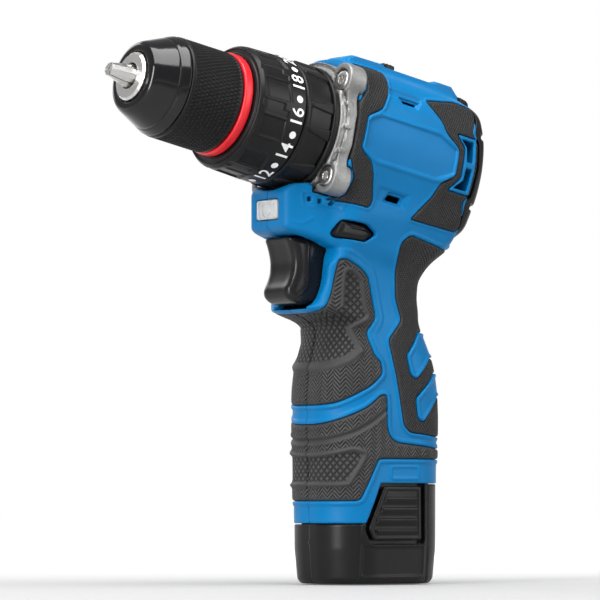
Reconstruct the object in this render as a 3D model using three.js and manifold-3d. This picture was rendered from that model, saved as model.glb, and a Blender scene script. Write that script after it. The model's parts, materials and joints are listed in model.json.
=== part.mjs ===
// Cordless drill driver of the 12 V class with a stick battery in its grip.
// Millimetres, +Z up, +X towards the nose, +Y is the tool's left side.
// The origin is the centre of the battery's underside. Barrel pieces are made in barrel axes,
// where X is the distance ahead of the chuck sleeve's rear edge and Z is height over the barrel's axis.
import * as THREE from 'three';
import { mergeVertices } from 'three/addons/utils/BufferGeometryUtils.js';
import Module from 'manifold-3d';

const wasm = await Module();
wasm.setup();

// ---------------------------------------------------------------- driving dimensions
const GAP = 0.3;
const WALL = 2.3;
const PAD_PROUD = 0.7;
const PAD_SUNK = 0.7;
const ROUND = 32;
const INNER_ROUND = 22;
const SMALL_ROUND = 16;
const TINY_ROUND = 10;

const BARREL_ORIGIN = new THREE.Vector3(69.8, 0, 176.46);
const BARREL_PITCH = THREE.MathUtils.degToRad(11.58);

// grip sections: height, reach forward, reach back, half width, corner radius
const GRIP = [
  [16, 26.1, 26.3, 20.6, 17],
  [50, 26.5, 26.7, 20.6, 17],
  [62, 26.9, 26.9, 20.6, 17],
  [76, 26.2, 25.9, 20.6, 16.5],
  [84, 24.9, 24.2, 19.4, 16],
  [91, 23.2, 21.6, 18.5, 16],
  [96, 23.2, 19.2, 18.0, 15.5],
  [99, 28.5, 17.8, 17.6, 14],
  [102, 36.5, 16.8, 17.3, 11],
  [106, 38, 16.1, 17.3, 11],
  [113, 38, 16.5, 17.6, 11],
  [119, 38, 20.3, 18.4, 11],
  [124, 38, 27.5, 19.8, 11],
  [130, 38, 30, 22.0, 10],
  [136, 34, 30, 23.6, 10],
  [150, 30, 30, 23.6, 10],
];
// snout sections: forward distance, half width, underside height, top height, corner radius
const SNOUT = [
  [2, 20.5, 122, 151, 6],
  [18, 19.2, 126.5, 151, 6],
  [32, 15.8, 128.4, 150, 5],
  [42, 12.6, 128.8, 146, 4],
  [45.3, 11.2, 130.4, 143.6, 3],
];
// head outline, half of it, from the top centre to the bottom centre
const HEAD = [
  [0, 30.2], [8, 30.2], [19.5, 25], [25.6, 15], [27.4, 6],
  [27.4, -6], [25.8, -16], [21.6, -25], [12, -30], [0, -30],
];
const HEAD_REACH = 40;
const HEAD_REAR = -103.7;
const HEAD_SWELL = [[-46.8, 0.975], [-58, 1], [-84, 1], [-97, 0.985], [HEAD_REAR, 0.955]];
const CAP_SWELL = [[-104, 0.95], [-107.5, 0.93], [-110.6, 0.87], [-112.6, 0.74]];
const RIDGE = { front: -50, rear: -100, halfWidth: 9.5, top: 32.6 };

const FLANGE = {
  front: -40.3, rear: -46.5, lugRear: -48.6, bore: 21.2,
  lugY: 19.8, lugZ: 18.4, lugR: 6.4, sweep: [-0.35, 1.85], halfWidth: 27, halfHeight: 28.4,
};
const SCREW = { seat: -44.2, headR: 3.9, headL: 3.2, shankR: 1.7, socketR: 1.7, socketDepth: 2 };

const BATTERY = {
  stepRear: 37.3, stepFront: 22.4, stepRearX: 8, stepFrontX: 14.2,
  stickX: 19.8, stickY: 17.9, stickR: 10.5, stickTop: 73,
};
const CELL = { r: 9, length: 65, floor: 5.6, pitch: 18.3 };
const LATCH = { inner: 19.2, outer: 20.7, pocket: 17.6 };
const LATCH_OUTLINE = [[6.2, 36.4], [-11.2, 36.4], [-11.4, 16], [11, 16], [13.6, 20.5]];

const TRIGGER_HALF = 9.6;
const TRIGGER_OUTLINE = [
  [41.5, 128.2], [39.2, 124], [38.3, 119], [38.7, 115], [40.2, 111.6], [42, 108.8], [41.6, 106],
  [38.5, 103.6],
  [30, 102.6], [22, 103.4], [17, 106], [16, 110], [16, 124], [17.5, 127.4],
];
const BAY_OUTLINE = [
  [60, 128.6], [24, 128.6], [27.6, 126.6], [29.2, 123], [29.4, 110], [30.2, 106], [31.5, 103.6], [34, 102.2],
  [60, 102.2],
];
const SELECTOR = { halfWidth: 21.4, shoulder: 13 };
const SELECTOR_OUTLINE = [
  [29.2, 129.3], [25.4, 134.1], [15.2, 133.5], [10.9, 129.4], [15.2, 126.8], [27.8, 127.9],
];

const SPEED_SLOT = { front: -67.5, rear: -85.5, halfWidth: 7.6 };
const SPEED_SLIDER = { front: -68, rear: -76.5, halfWidth: 7.2, bottom: 29.6, top: 34.3 };

// pad outlines: barrel axes for the two on the head, tool axes for the three on the grip
const SHOULDER_PAD = [
  [-50.5, 32], [-62, 32], [-60.5, 18], [-57.5, 10.5], [-51, 6.2], [-50.4, -6], [-56, -9.2], [-58.6, -14],
  [-61.5, -23], [-60.5, -26], [-47.2, -26], [-50.6, -21.5], [-51.2, -16], [-47.2, -9], [-47.2, 9],
  [-51.2, 16],
  [-51.2, 22],
];
const REAR_PAD = [
  [-78.5, 19.4], [-94, 22.6], [-103.2, 22.6], [-103.2, -24.8], [-80, -25.6], [-87, -15.5], [-89, -9.4],
  [-94.8, -5.4], [-94.8, 4.8], [-88.5, 9.6], [-86, 13.6],
];
const VENT_WINDOWS = [
  [[-97.5, 8.6], [-102, 8.8], [-102, 1.6], [-99.6, 1.6], [-99, 6.4]],
  [[-99.8, -1.4], [-102, -1.4], [-102, -8.6], [-97, -8.8], [-99.8, -5]],
];
const FRONT_PAD = [
  [26.4, 119.8], [22.6, 120.2], [15.6, 117], [11.8, 113.8], [8.4, 98.8], [12.4, 93], [9.8, 84.4], [7.2, 82.4],
  [6.6, 77.4], [12, 73], [19, 69], [26, 66], [40, 65], [60, 65], [60, 98.4], [33, 98.4],
  [29.4, 102.6], [27.8, 107.6],
  [26.8, 114],
];
const LOWER_PAD = [
  [60, 58], [30, 58], [22, 61.2], [14, 65.2], [8, 69.8], [5.2, 70], [5.2, 58], [3.6, 54.2], [0.4, 52.2],
  [-19, 50.4],
  [-60, 50.4], [-60, 46.2], [9.2, 46.2], [16.4, 30.6], [60, 30.6],
];
const STRAP_PAD = [
  [-5, 129.8], [-1, 126.8], [-0.2, 122], [-1, 106], [-3.6, 98], [3.2, 90.4], [0, 73], [-2.4, 58.6],
  [-5.6, 56],
  [-19, 54.6], [-60, 54.6], [-60, 124.6], [-22, 125.2],
];
const STRAP_ISLANDS = [
  [[-5, 84.6], [-12.4, 93.4], [-60, 93.4], [-60, 85], [-17.5, 85], [-8.6, 76.2], [-6.4, 77.6]],
  [[-8.4, 68.8], [-19.6, 78.4], [-60, 78.4], [-60, 70.6], [-21, 70.6], [-11.4, 60.2], [-9.2, 61.6]],
];

// chuck and gear train
const CHUCK = {
  sleeveR: 19.15, sleeveFront: 22.8, collarR: 19.45, noseFront: 36.8, mouthR: 5, ringR: 9.1, ringFront: 37.9,
};
const JAW = {
  r: 3, tip: 47, tail: 17, lean: THREE.MathUtils.degToRad(14.6), tipOffset: -0.75, faceGap: 0.18,
};
const GEAR = { module: 0.7, sun: 12, planet: 18, ring: 48, tip: 0.45, root: 0.65 };
const PLANET_ORBIT = GEAR.module * (GEAR.sun + GEAR.planet) / 2;
const PLANET_COUNT = 3;

// ---------------------------------------------------------------- materials
const paint = (color, roughness, metalness = 0) => (
  new THREE.MeshStandardMaterial({ color, roughness, metalness })
);
const BLUE = paint(0x0b74bd, 0.42);
const RUBBER = paint(0x2b2b2c, 0.85);
const BLACK = paint(0x1c1c1d, 0.5);
const GLOSS_BLACK = paint(0x101011, 0.18);
const RED = paint(0xd3222b, 0.4);
const CAST = paint(0xb4b3b0, 0.5, 0.9);
const STEEL = paint(0xc9cbcd, 0.28, 1);
const DARK_STEEL = paint(0x5c6066, 0.45, 1);
const CLEAR = paint(0xe8edf0, 0.12);
const BOARD = paint(0x1f6b3a, 0.6);
const CELL_WRAP = paint(0x3b6fb0, 0.5);

// ---------------------------------------------------------------- solids
function solid(geometry) {
  const bare = new THREE.BufferGeometry();
  bare.setAttribute('position', geometry.getAttribute('position').clone());
  if (geometry.index) bare.setIndex(geometry.index.clone());
  const merged = mergeVertices(bare, 1e-4);
  const faces = wholeFaces(merged.index.array);
  const points = merged.getAttribute('position').array;
  if (signedVolume(points, faces) < 0) faces.reverse();
  return new wasm.Manifold(new wasm.Mesh({
    numProp: 3,
    vertProperties: new Float32Array(points),
    triVerts: new Uint32Array(faces),
  }));
}

function wholeFaces(index) {
  const faces = [];
  for (let i = 0; i < index.length; i += 3) {
    const [a, b, c] = [index[i], index[i + 1], index[i + 2]];
    if (a !== b && b !== c && c !== a) faces.push(a, b, c);
  }
  return faces;
}

function signedVolume(points, faces) {
  const corner = i => new THREE.Vector3(points[3 * i], points[3 * i + 1], points[3 * i + 2]);
  let sum = 0;
  for (let i = 0; i < faces.length; i += 3) {
    sum += corner(faces[i]).dot(corner(faces[i + 1]).cross(corner(faces[i + 2])));
  }
  return sum;
}

// rings of equal length joined side by side, closed by a fan at each end
function loft(rings) {
  const count = rings[0].length;
  const points = rings.flat();
  const middle = ring => ring.reduce((sum, p) => sum.add(p), new THREE.Vector3()).divideScalar(count);
  points.push(middle(rings[0]), middle(rings[rings.length - 1]));
  const faces = [];
  const last = (rings.length - 1) * count;
  for (let i = 0; i < count; i += 1) {
    const next = (i + 1) % count;
    for (let base = 0; base < last; base += count) {
      faces.push(base + i, base + next, base + count + next);
      faces.push(base + i, base + count + next, base + count + i);
    }
    faces.push(points.length - 2, next, i);
    faces.push(points.length - 1, last + i, last + next);
  }
  const geometry = new THREE.BufferGeometry().setFromPoints(points);
  geometry.setIndex(faces);
  return geometry;
}

// a profile of [axial, radius] pairs spun about the X axis
function turned(profile, segments = ROUND) {
  const points = profile.map(([along, radius]) => new THREE.Vector2(radius, along));
  if (profile[0][1] > 0) points.push(points[0].clone());
  return solid(new THREE.LatheGeometry(points, segments).rotateZ(-Math.PI / 2));
}

// a tube about the X axis
const tube = (from, to, inner, outer, segments = ROUND) =>
  turned([[from, inner], [from, outer], [to, outer], [to, inner]], segments);

const rod = (from, to, radius, segments = SMALL_ROUND) =>
  turned([[from, 0], [from, radius], [to, radius], [to, 0]], segments);

// an outline in X and Z pushed along Y
function slab(outline, y0, y1) {
  const shape = new THREE.Shape(outline.map(([x, z]) => new THREE.Vector2(x, z)));
  const options = { depth: y1 - y0, bevelEnabled: false, curveSegments: 1 };
  const geometry = new THREE.ExtrudeGeometry(shape, options);
  return solid(geometry.rotateX(Math.PI / 2).translate(0, y1, 0));
}

// an outline in Y and Z pushed along X
function plate(shape, x0, x1, curveSegments = 5) {
  const geometry = new THREE.ExtrudeGeometry(shape, { depth: x1 - x0, bevelEnabled: false, curveSegments });
  return solid(geometry.rotateX(Math.PI / 2).rotateZ(Math.PI / 2).translate(x0, 0, 0));
}

function block(x0, x1, y0, y1, z0, z1) {
  const geometry = new THREE.BoxGeometry(x1 - x0, y1 - y0, z1 - z0);
  return solid(geometry.translate((x0 + x1) / 2, (y0 + y1) / 2, (z0 + z1) / 2));
}

const join = (...solids) => solids.reduce((a, b) => a.add(b));
const cut = (from, ...tools) => tools.reduce((a, b) => a.subtract(b), from);
const mirrored = piece => piece.mirror([0, 1, 0]);

// the biggest closed body of a cut result, without the crumbs that a cut can leave
function biggest(piece) {
  return piece.decompose().reduce((a, b) => (a.volume() > b.volume() ? a : b));
}

// ---------------------------------------------------------------- outlines
// moves each corner of a closed outline outwards along its corner's bisector
function grown(outline, distance) {
  const area = outline.reduce((sum, [x, y], i) => {
    const [nx, ny] = outline[(i + 1) % outline.length];
    return sum + x * ny - nx * y;
  }, 0);
  const turn = Math.sign(area);
  return outline.map((point, i) => {
    const before = outline[(i + outline.length - 1) % outline.length];
    const after = outline[(i + 1) % outline.length];
    const a = new THREE.Vector2(point[0] - before[0], point[1] - before[1]).normalize();
    const b = new THREE.Vector2(after[0] - point[0], after[1] - point[1]).normalize();
    const normal = new THREE.Vector2(a.y + b.y, -a.x - b.x).normalize().multiplyScalar(turn);
    const slope = Math.max(0.5, normal.x * a.y * turn - normal.y * a.x * turn);
    return [point[0] + normal.x * distance / slope, point[1] + normal.y * distance / slope];
  });
}

// a rounded rectangle as a ring of points, placed by a callback
function roundedRing(x0, x1, y0, y1, radius, place, perCorner = 4) {
  const corners = [
    [x1 - radius, y1 - radius], [x0 + radius, y1 - radius],
    [x0 + radius, y0 + radius], [x1 - radius, y0 + radius],
  ];
  return corners.flatMap(([cx, cy], quarter) => Array.from({ length: perCorner }, (_, i) => {
    const angle = (quarter + i / (perCorner - 1)) * Math.PI / 2;
    return place(cx + radius * Math.cos(angle), cy + radius * Math.sin(angle));
  }));
}

const barrelSolid = piece => piece
  .rotate([0, -THREE.MathUtils.radToDeg(BARREL_PITCH), 0])
  .translate(BARREL_ORIGIN.toArray());

// ---------------------------------------------------------------- outer form
function gripForm(extra, floor = GRIP[0][0]) {
  return solid(loft(GRIP.map(([z, front, back, half, radius], i) => roundedRing(
    -back - extra, front + extra, -half - extra, half + extra, radius + extra,
    (x, y) => new THREE.Vector3(x, y, i === 0 ? floor : z),
  ))));
}

function snoutForm(extra) {
  return solid(loft(SNOUT.map(([x, half, low, high, radius], i) => roundedRing(
    -half - extra, half + extra, low - extra, high + extra, radius,
    (y, z) => new THREE.Vector3(i === SNOUT.length - 1 ? x + extra : x, y, z), 3,
  ))));
}

function headForm(extra, stations) {
  const outline = HEAD.concat(HEAD.slice(1, -1).reverse().map(([y, z]) => [-y, z]));
  const section = grown(outline, extra);
  const ring = ([x, scale]) => section.map(([y, z]) => new THREE.Vector3(x, y * scale, z * scale));
  const rings = stations.map(ring);
  return solid(loft(rings));
}

function ridgeForm(extra) {
  const { halfWidth, top } = RIDGE;
  const front = RIDGE.front + extra;
  const rear = RIDGE.rear - extra;
  const side = [
    [front, 20], [front, top - 2.4 + extra], [front - 5, top + extra],
    [rear + 6, top + extra], [rear, top - 3.6 + extra], [rear, 20],
  ];
  return slab(side, -halfWidth - extra, halfWidth + extra);
}

function wholeForm(extra) {
  const head = barrelSolid(join(headForm(extra, HEAD_SWELL), ridgeForm(extra)));
  return join(head, gripForm(extra), snoutForm(extra));
}

const outerForm = wholeForm(0);
const padTop = wholeForm(PAD_PROUD);
const padFloor = wholeForm(-PAD_SUNK);
const recessFloor = wholeForm(-PAD_SUNK - GAP);

// ---------------------------------------------------------------- pads
const headSlab = (outline, from = -GAP) => barrelSolid(slab(outline, from, HEAD_REACH));
const gripSlab = (outline, from = -GAP) => slab(outline, from, HEAD_REACH);
const behindHead = barrelSolid(block(-140, HEAD_REAR, -HEAD_REACH, HEAD_REACH, -60, 60));
const skin = padTop.subtract(padFloor).subtract(behindHead);
const hollows = join(...VENT_WINDOWS.map(outline => headSlab(grown(outline, 0.6))));
const islands = STRAP_ISLANDS.map(outline => gripSlab(grown(outline, GAP)));
const flangeRoom = barrelSolid(plate(flangeShape(GAP), FLANGE.lugRear - GAP, 0));

const ridgeRoom = barrelSolid(ridgeForm(PAD_PROUD + GAP));

const PADS = {
  shoulder_pad: cut(skin.intersect(headSlab(SHOULDER_PAD, GAP / 2)), flangeRoom, ridgeRoom),
  rear_pad: cut(skin.intersect(headSlab(REAR_PAD, GAP / 2)), hollows),
  front_grip_pad: skin.intersect(gripSlab(FRONT_PAD, GAP / 2)),
  lower_grip_pad: skin.intersect(gripSlab(LOWER_PAD, GAP / 2)),
  back_strap_pad: cut(skin.intersect(gripSlab(STRAP_PAD, GAP / 2)), ...islands),
};

function padRecesses() {
  const sleeve = outlines => join(...outlines).subtract(recessFloor);
  const wide = sleeve([
    headSlab(grown(SHOULDER_PAD, GAP)).subtract(barrelSolid(ridgeForm(PAD_PROUD))),
    headSlab(grown(REAR_PAD, GAP)),
    gripSlab(grown(FRONT_PAD, GAP)), gripSlab(grown(LOWER_PAD, GAP)),
  ]);
  const strap = cut(sleeve([gripSlab(grown(STRAP_PAD, GAP))]), ...STRAP_ISLANDS.map(gripSlab));
  return join(wide, strap);
}

// ---------------------------------------------------------------- housing
function speedSlot() {
  const { front, rear, halfWidth } = SPEED_SLOT;
  return block(rear, front, -halfWidth, halfWidth, 26, 40);
}

function batteryTop(extra) {
  const { stepRear, stepFront, stepRearX, stepFrontX } = BATTERY;
  const outline = [
    [-60, -5], [60, -5], [60, stepFront + extra], [stepFrontX + extra, stepFront + extra],
    [stepRearX + extra / 2, stepRear + extra], [-60, stepRear + extra],
  ];
  return slab(outline, -HEAD_REACH, HEAD_REACH);
}

function cavity() {
  const stations = [[-45, 0.97], ...HEAD_SWELL.slice(1, -1), [-110, 0.95]];
  return join(barrelSolid(headForm(-WALL, stations)), gripForm(-WALL, 4), snoutForm(-WALL));
}

function housingHalf() {
  const bay = slab(BAY_OUTLINE, -HEAD_REACH, HEAD_REACH);
  const triggerWay = block(10, 60, -TRIGGER_HALF - GAP, TRIGGER_HALF + GAP, 102.2, 128.6);
  const selectorWay = slab(grown(SELECTOR_OUTLINE, GAP), -HEAD_REACH, HEAD_REACH);
  const lampWay = block(40, 60, -6.7, 6.7, 134.3, 142.1);
  const barrelWay = barrelSolid(join(rod(-52, 60, FLANGE.bore + GAP, ROUND), rod(-40.5, 60, 25.3, ROUND)));
  const right = block(-100, 100, -HEAD_REACH, GAP / 2, -5, 220);
  const shell = cut(
    outerForm, cavity(), batteryTop(GAP), bay, triggerWay, selectorWay, lampWay, barrelWay,
    flangeRoom, behindHead, barrelSolid(speedSlot()), hollows, padRecesses(), right,
  );
  return biggest(shell);
}

// ---------------------------------------------------------------- head pieces
// the flange's outline in Y and Z: a quarter is mirrored to the other three
function flangeShape(extra) {
  const { lugY, lugZ, lugR, sweep, halfWidth, halfHeight } = FLANGE;
  const lugPoints = 5;
  const lug = Array.from({ length: lugPoints }, (_, i) => {
    const angle = sweep[0] + (sweep[1] - sweep[0]) * i / (lugPoints - 1);
    return [lugY + (lugR + extra) * Math.cos(angle), lugZ + (lugR + extra) * Math.sin(angle)];
  });
  const quarter = [[halfWidth + extra, 9], ...lug, [12, halfHeight + extra]];
  const upper = [...quarter, ...quarter.map(([y, z]) => [-y, z]).reverse()];
  const whole = [...upper, ...upper.map(([y, z]) => [y, -z]).reverse()];
  return new THREE.Shape(whole.map(([y, z]) => new THREE.Vector2(y, z)));
}

function gearboxFlange() {
  const { front, rear, lugRear, bore, lugY, lugZ } = FLANGE;
  const body = plate(flangeShape(0), rear, front);
  const lugs = [];
  const holes = [];
  for (const y of [-lugY, lugY]) {
    for (const z of [-lugZ, lugZ]) {
      lugs.push(rod(lugRear, rear + 0.5, FLANGE.lugR - 0.8).translate([0, y, z]));
      holes.push(rod(lugRear - 1, front + 1, SCREW.shankR + GAP, TINY_ROUND).translate([0, y, z]));
      holes.push(rod(SCREW.seat - GAP, front + 1, SCREW.headR + GAP).translate([0, y, z]));
    }
  }
  return cut(join(body, ...lugs), ...holes, rod(-60, 0, bore, ROUND));
}

function flangeScrew(y, z) {
  const { seat, headR, headL, shankR, socketR, socketDepth } = SCREW;
  const profile = [
    [FLANGE.lugRear + 0.4, 0], [FLANGE.lugRear + 0.4, shankR], [seat, shankR], [seat, headR],
    [seat + headL, headR - 0.4], [seat + headL, socketR], [seat + headL - socketDepth, socketR],
    [seat + headL - socketDepth, 0],
  ];
  return turned(profile, TINY_ROUND).translate([0, y, z]);
}

function rearCap() {
  const shell = headForm(0, CAP_SWELL);
  const room = headForm(-WALL, [[-90, 0.95], [-108.6, 0.9]]);
  const bearingSeat = tube(-110.2, -104.5, 6.4, 8, SMALL_ROUND);
  return join(shell.subtract(room), bearingSeat);
}

const speedSlider = () => join(
  block(
    SPEED_SLIDER.rear, SPEED_SLIDER.front, -SPEED_SLIDER.halfWidth, SPEED_SLIDER.halfWidth,
    SPEED_SLIDER.bottom, 32,
  ),
  slab([[-69.6, 31], [-70.4, 33.6], [-71.2, 34.3], [-74.4, 34.3], [-75.4, 33.6], [-75.8, 31]], -5.6, 5.6),
);

// ---------------------------------------------------------------- rings and chuck
const torqueRing = () => turned([
  [-4.5, 14.9], [-4.5, 22.1], [-6, 23.3], [-16.8, 23.8], [-25.1, 24], [-25.1, 21.3], [-7, 21.3], [-7, 14.9],
]);
const modeRing = () => tube(-37.5, -25.5, 21.3, 24.3);
const dustRing = () => tube(-40, -37.8, 21.3, 24.5);
const lockRing = () => tube(-4.2, -0.3, 14, CHUCK.collarR);
const chuckSleeve = () => turned([
  [0, 14.6], [0, CHUCK.sleeveR], [CHUCK.sleeveFront, 18.9], [CHUCK.sleeveFront, 17], [2, 17], [2, 14.6],
]);
const chuckNose = () => turned([
  [23.1, 16.4], [23.1, 18.85], [26.2, 17.5], [26.8, 17.1], [27.4, 17.1], [34.8, 13.9], [36.4, 12.8],
  [CHUCK.noseFront, 11.4], [CHUCK.noseFront, 9.5], [33.7, 9.5], [33.7, 12.4], [26.6, 15.4],
]);
const chuckNut = () => tube(16, 21.9, 10.9, 16.6, INNER_ROUND);

// a rod along a jaw's own leaning axis, between two distances ahead of the sleeve's rear edge
function leaningRod(from, to, radius, turn) {
  const axis = rod(0, (to - from) / Math.cos(JAW.lean), radius, TINY_ROUND);
  const startRadius = JAW.tipOffset + (JAW.tip - from) * Math.tan(JAW.lean);
  return axis
    .rotate([0, THREE.MathUtils.radToDeg(JAW.lean), 0])
    .translate([from, 0, startRadius])
    .rotate([turn, 0, 0]);
}

const jawTurn = i => i * 120 + 30;

function chuckBody() {
  const { mouthR, ringR, ringFront } = CHUCK;
  const body = turned([
    [10.3, 0], [10.3, 5.8], [-0.6, 5.8], [-0.6, 13.2], [15.7, 13.2], [15.7, 8.6], [22.3, 8.6], [22.3, 16],
    [23.6, 16], [26.4, 15], [33.3, 12], [33.3, ringR], [ringFront - 0.8, ringR], [ringFront, ringR - 0.8],
    [ringFront, mouthR], [28, mouthR], [28, 0],
  ], INNER_ROUND);
  return cut(body, ...[0, 1, 2].map(i => leaningRod(-6, 52, JAW.r + GAP, jawTurn(i))));
}

function jaw(i) {
  const reach = 9;
  const tip = JAW.tip;
  const wedge = new THREE.Shape([
    new THREE.Vector2(0, JAW.faceGap),
    new THREE.Vector2(reach * Math.cos(Math.PI / 6), JAW.faceGap + reach * Math.sin(Math.PI / 6)),
    new THREE.Vector2(0, 2 * reach),
    new THREE.Vector2(-reach * Math.cos(Math.PI / 6), JAW.faceGap + reach * Math.sin(Math.PI / 6)),
  ]);
  const sector = plate(wedge, JAW.tail, tip);
  const bar = leaningRod(JAW.tail - 2, tip + 2, JAW.r, 0).intersect(sector);
  return bar.rotate([jawTurn(i), 0, 0]);
}

// ---------------------------------------------------------------- gear train
// a toothed outline; inner gears pass a negative facing
function toothed(teeth, facing, phase = 0) {
  const radius = GEAR.module * teeth / 2;
  return Array.from({ length: 2 * teeth }, (_, i) => {
    const angle = (i / 2 + phase) * 2 * Math.PI / teeth;
    const reach = i % 2 === 0 ? radius + facing * GEAR.tip : radius - facing * GEAR.root;
    return new THREE.Vector2(reach * Math.cos(angle), reach * Math.sin(angle));
  });
}

function spurGear(teeth, from, to, bore, phase) {
  const shape = new THREE.Shape(toothed(teeth, 1, phase));
  const gear = plate(shape, from, to);
  return bore > 0 ? gear.subtract(rod(from - 1, to + 1, bore, TINY_ROUND)) : gear;
}

function ringGear(from, to) {
  const room = plate(new THREE.Shape(toothed(GEAR.ring, -1, 0.5)), from - 1, to + 1);
  return rod(from, to, 19.2, INNER_ROUND).subtract(room);
}

const planetPlace = i => {
  const angle = i * 2 * Math.PI / PLANET_COUNT;
  return [0, PLANET_ORBIT * Math.cos(angle), PLANET_ORBIT * Math.sin(angle)];
};
// a planet's teeth stand in the ring's gaps, which repeat alike at the three places
const planetGear = (i, from, to) => spurGear(GEAR.planet, from, to, 2.2, 0).translate(planetPlace(i));

function carrier(discFrom, discTo, pinTo) {
  const pin = i => rod(pinTo, discFrom + 0.5, 1.9, TINY_ROUND).translate(planetPlace(i));
  const pins = Array.from({ length: PLANET_COUNT }, (_, i) => pin(i));
  return join(rod(discFrom, discTo, 13.8), ...pins);
}

const outputSpindle = () => join(carrier(-25.7, -23, -31.8), rod(-23.5, 10, 5.4));
const carrierOne = () => join(carrier(-35.8, -33.2, -42), spurGear(GEAR.sun, -33.5, -26.4, 0, 0.5));
const rotor = () => turned([
  [-108, 0], [-108, 1.6], [-90, 1.6], [-90, 14.2], [-55, 14.2], [-55, 1.6], [-36.4, 1.6], [-36.4, 0],
]);
const sunPinion = () => spurGear(GEAR.sun, -45, -36.4, 1.9, 0.5);

function fan() {
  const hub = tube(-98.4, -97, 1.9, 15, SMALL_ROUND);
  const bladeCount = 7;
  const blades = Array.from({ length: bladeCount }, (_, i) =>
    block(-101.4, -98, -0.5, 0.5, 6, 15).rotate([i * 360 / bladeCount, 0, 0]));
  return join(hub, tube(-101.4, -98, 1.9, 4, TINY_ROUND), ...blades);
}

const gearboxCase = () => turned([
  [-7.6, 5.9], [-7.6, 14.4], [-21, 14.4], [-21, 20.9], [-48.5, 20.9], [-48.5, 19.5], [-22.6, 19.5],
  [-22.6, 5.9],
], INNER_ROUND);
const motorCan = () => turned([
  [-49.2, 5.6], [-49.2, 18.6], [-95.4, 18.6], [-95.4, 5.6], [-94.2, 5.6], [-94.2, 17.2],
  [-50.4, 17.2], [-50.4, 5.6],
], INNER_ROUND);
const rearBearing = () => tube(-107.6, -104, 1.9, 6.1, SMALL_ROUND);

function clutchSpring() {
  const turns = 3.4;
  const coil = { r: 17.6, from: -19.6, to: -9.4 };
  class Coil extends THREE.Curve {
    getPoint(t) {
      const angle = turns * 2 * Math.PI * t;
      const along = coil.from + (coil.to - coil.from) * t;
      return new THREE.Vector3(along, coil.r * Math.cos(angle), coil.r * Math.sin(angle));
    }
  }
  const wire = new THREE.Shape(Array.from({ length: 5 }, (_, i) =>
    new THREE.Vector2(1.1 * Math.cos(i * Math.PI / 2.5), 1.1 * Math.sin(i * Math.PI / 2.5))));
  return solid(new THREE.ExtrudeGeometry(wire, { steps: 40, bevelEnabled: false, extrudePath: new Coil() }));
}

// ---------------------------------------------------------------- grip pieces
function trigger() {
  const outer = slab(TRIGGER_OUTLINE, -TRIGGER_HALF, TRIGGER_HALF);
  const plan = roundedRing(10, 43, -TRIGGER_HALF, TRIGGER_HALF, 6, (x, y) => new THREE.Vector3(x, y, 0), 4);
  const low = plan.map(p => p.clone().setZ(100));
  const high = plan.map(p => p.clone().setZ(130));
  return outer.intersect(solid(loft([low, high])));
}

function directionSelector() {
  const { halfWidth, shoulder } = SELECTOR;
  const whole = slab(SELECTOR_OUTLINE, -halfWidth, halfWidth);
  const aboveTrigger = [
    block(0, 40, -shoulder, shoulder, 120, 129.2),
    block(0, 40, -shoulder, shoulder, 132.6, 140),
  ];
  return cut(whole, ...aboveTrigger);
}

const switchModule = () => block(-8, 9, -9, 9, 104.5, 126);
const controllerBoard = () => block(-12, 14, -0.8, 0.8, 87, 101.5);
const terminalBlock = () => join(
  block(-11, 11, -9, 9, 77.5, 83.5), block(-8, -6, -5, 5, 74.5, 78), block(6, 8, -5, 5, 74.5, 78),
);
const lampLens = () => join(block(42.5, 45.9, -6.4, 6.4, 134.6, 141.8), block(40, 43, -4, 4, 135.8, 140.6));

// ---------------------------------------------------------------- battery
const cellPlaces = [[-CELL.pitch / 2, -1], [CELL.pitch / 2, -1], [0, 1]]
  .map(([x, side]) => [x, side * CELL.pitch * Math.sqrt(3) / 4]);

const upright = (x, y, z0, z1, radius, segments = SMALL_ROUND) =>
  rod(z0, z1, radius, segments).rotate([0, -90, 0]).translate([x, y, 0]);

function batteryCase() {
  const { stickX, stickY, stickR, stickTop } = BATTERY;
  const base = [
    [0, 24, 24, 18.6, 15.5], [1.4, 25, 25.2, 19.8, 16.6], [13, 26, 26.2, 20.5, 17],
    [40, 26.1, 26.3, 20.6, 17],
  ];
  const body = solid(loft(base.map(([z, front, back, half, radius]) =>
    roundedRing(-back, front, -half, half, radius, (x, y) => new THREE.Vector3(x, y, z)))));
  const stick = solid(loft([20, stickTop].map(z =>
    roundedRing(-stickX, stickX, -stickY, stickY, stickR, (x, y) => new THREE.Vector3(x, y, z)))));
  const bores = cellPlaces.map(([x, y]) => upright(x, y, CELL.floor - 0.4, stickTop + 1, CELL.r + GAP));
  const pocket = slab(grown(LATCH_OUTLINE, GAP), LATCH.pocket, HEAD_REACH);
  return cut(join(body.intersect(batteryTop(0)), stick), ...bores, pocket, mirrored(pocket));
}

const batteryCell = ([x, y]) => upright(x, y, CELL.floor, CELL.floor + CELL.length, CELL.r);

function latch() {
  const { outer } = LATCH;
  const rib = z => block(-9.6, 9.6 - (z - 19) * 0.35, outer - 0.2, outer + 0.5, z, z + 1.2);
  const ribs = [19.4, 23.3, 27.3, 31.2].map(rib);
  return join(slab(LATCH_OUTLINE, LATCH.inner, LATCH.outer), ...ribs);
}

// ---------------------------------------------------------------- assembly
const drill = new THREE.Group();
const barrel = new THREE.Group();
barrel.position.copy(BARREL_ORIGIN);
barrel.rotation.y = -BARREL_PITCH;
drill.add(barrel);

function add(group, name, piece, material) {
  const { vertProperties, triVerts } = piece.getMesh();
  const geometry = new THREE.BufferGeometry();
  geometry.setAttribute('position', new THREE.BufferAttribute(new Float32Array(vertProperties), 3));
  geometry.setIndex(new THREE.BufferAttribute(new Uint32Array(triVerts), 1));
  const mesh = new THREE.Mesh(geometry, material);
  mesh.name = name;
  group.add(mesh);
}

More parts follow.
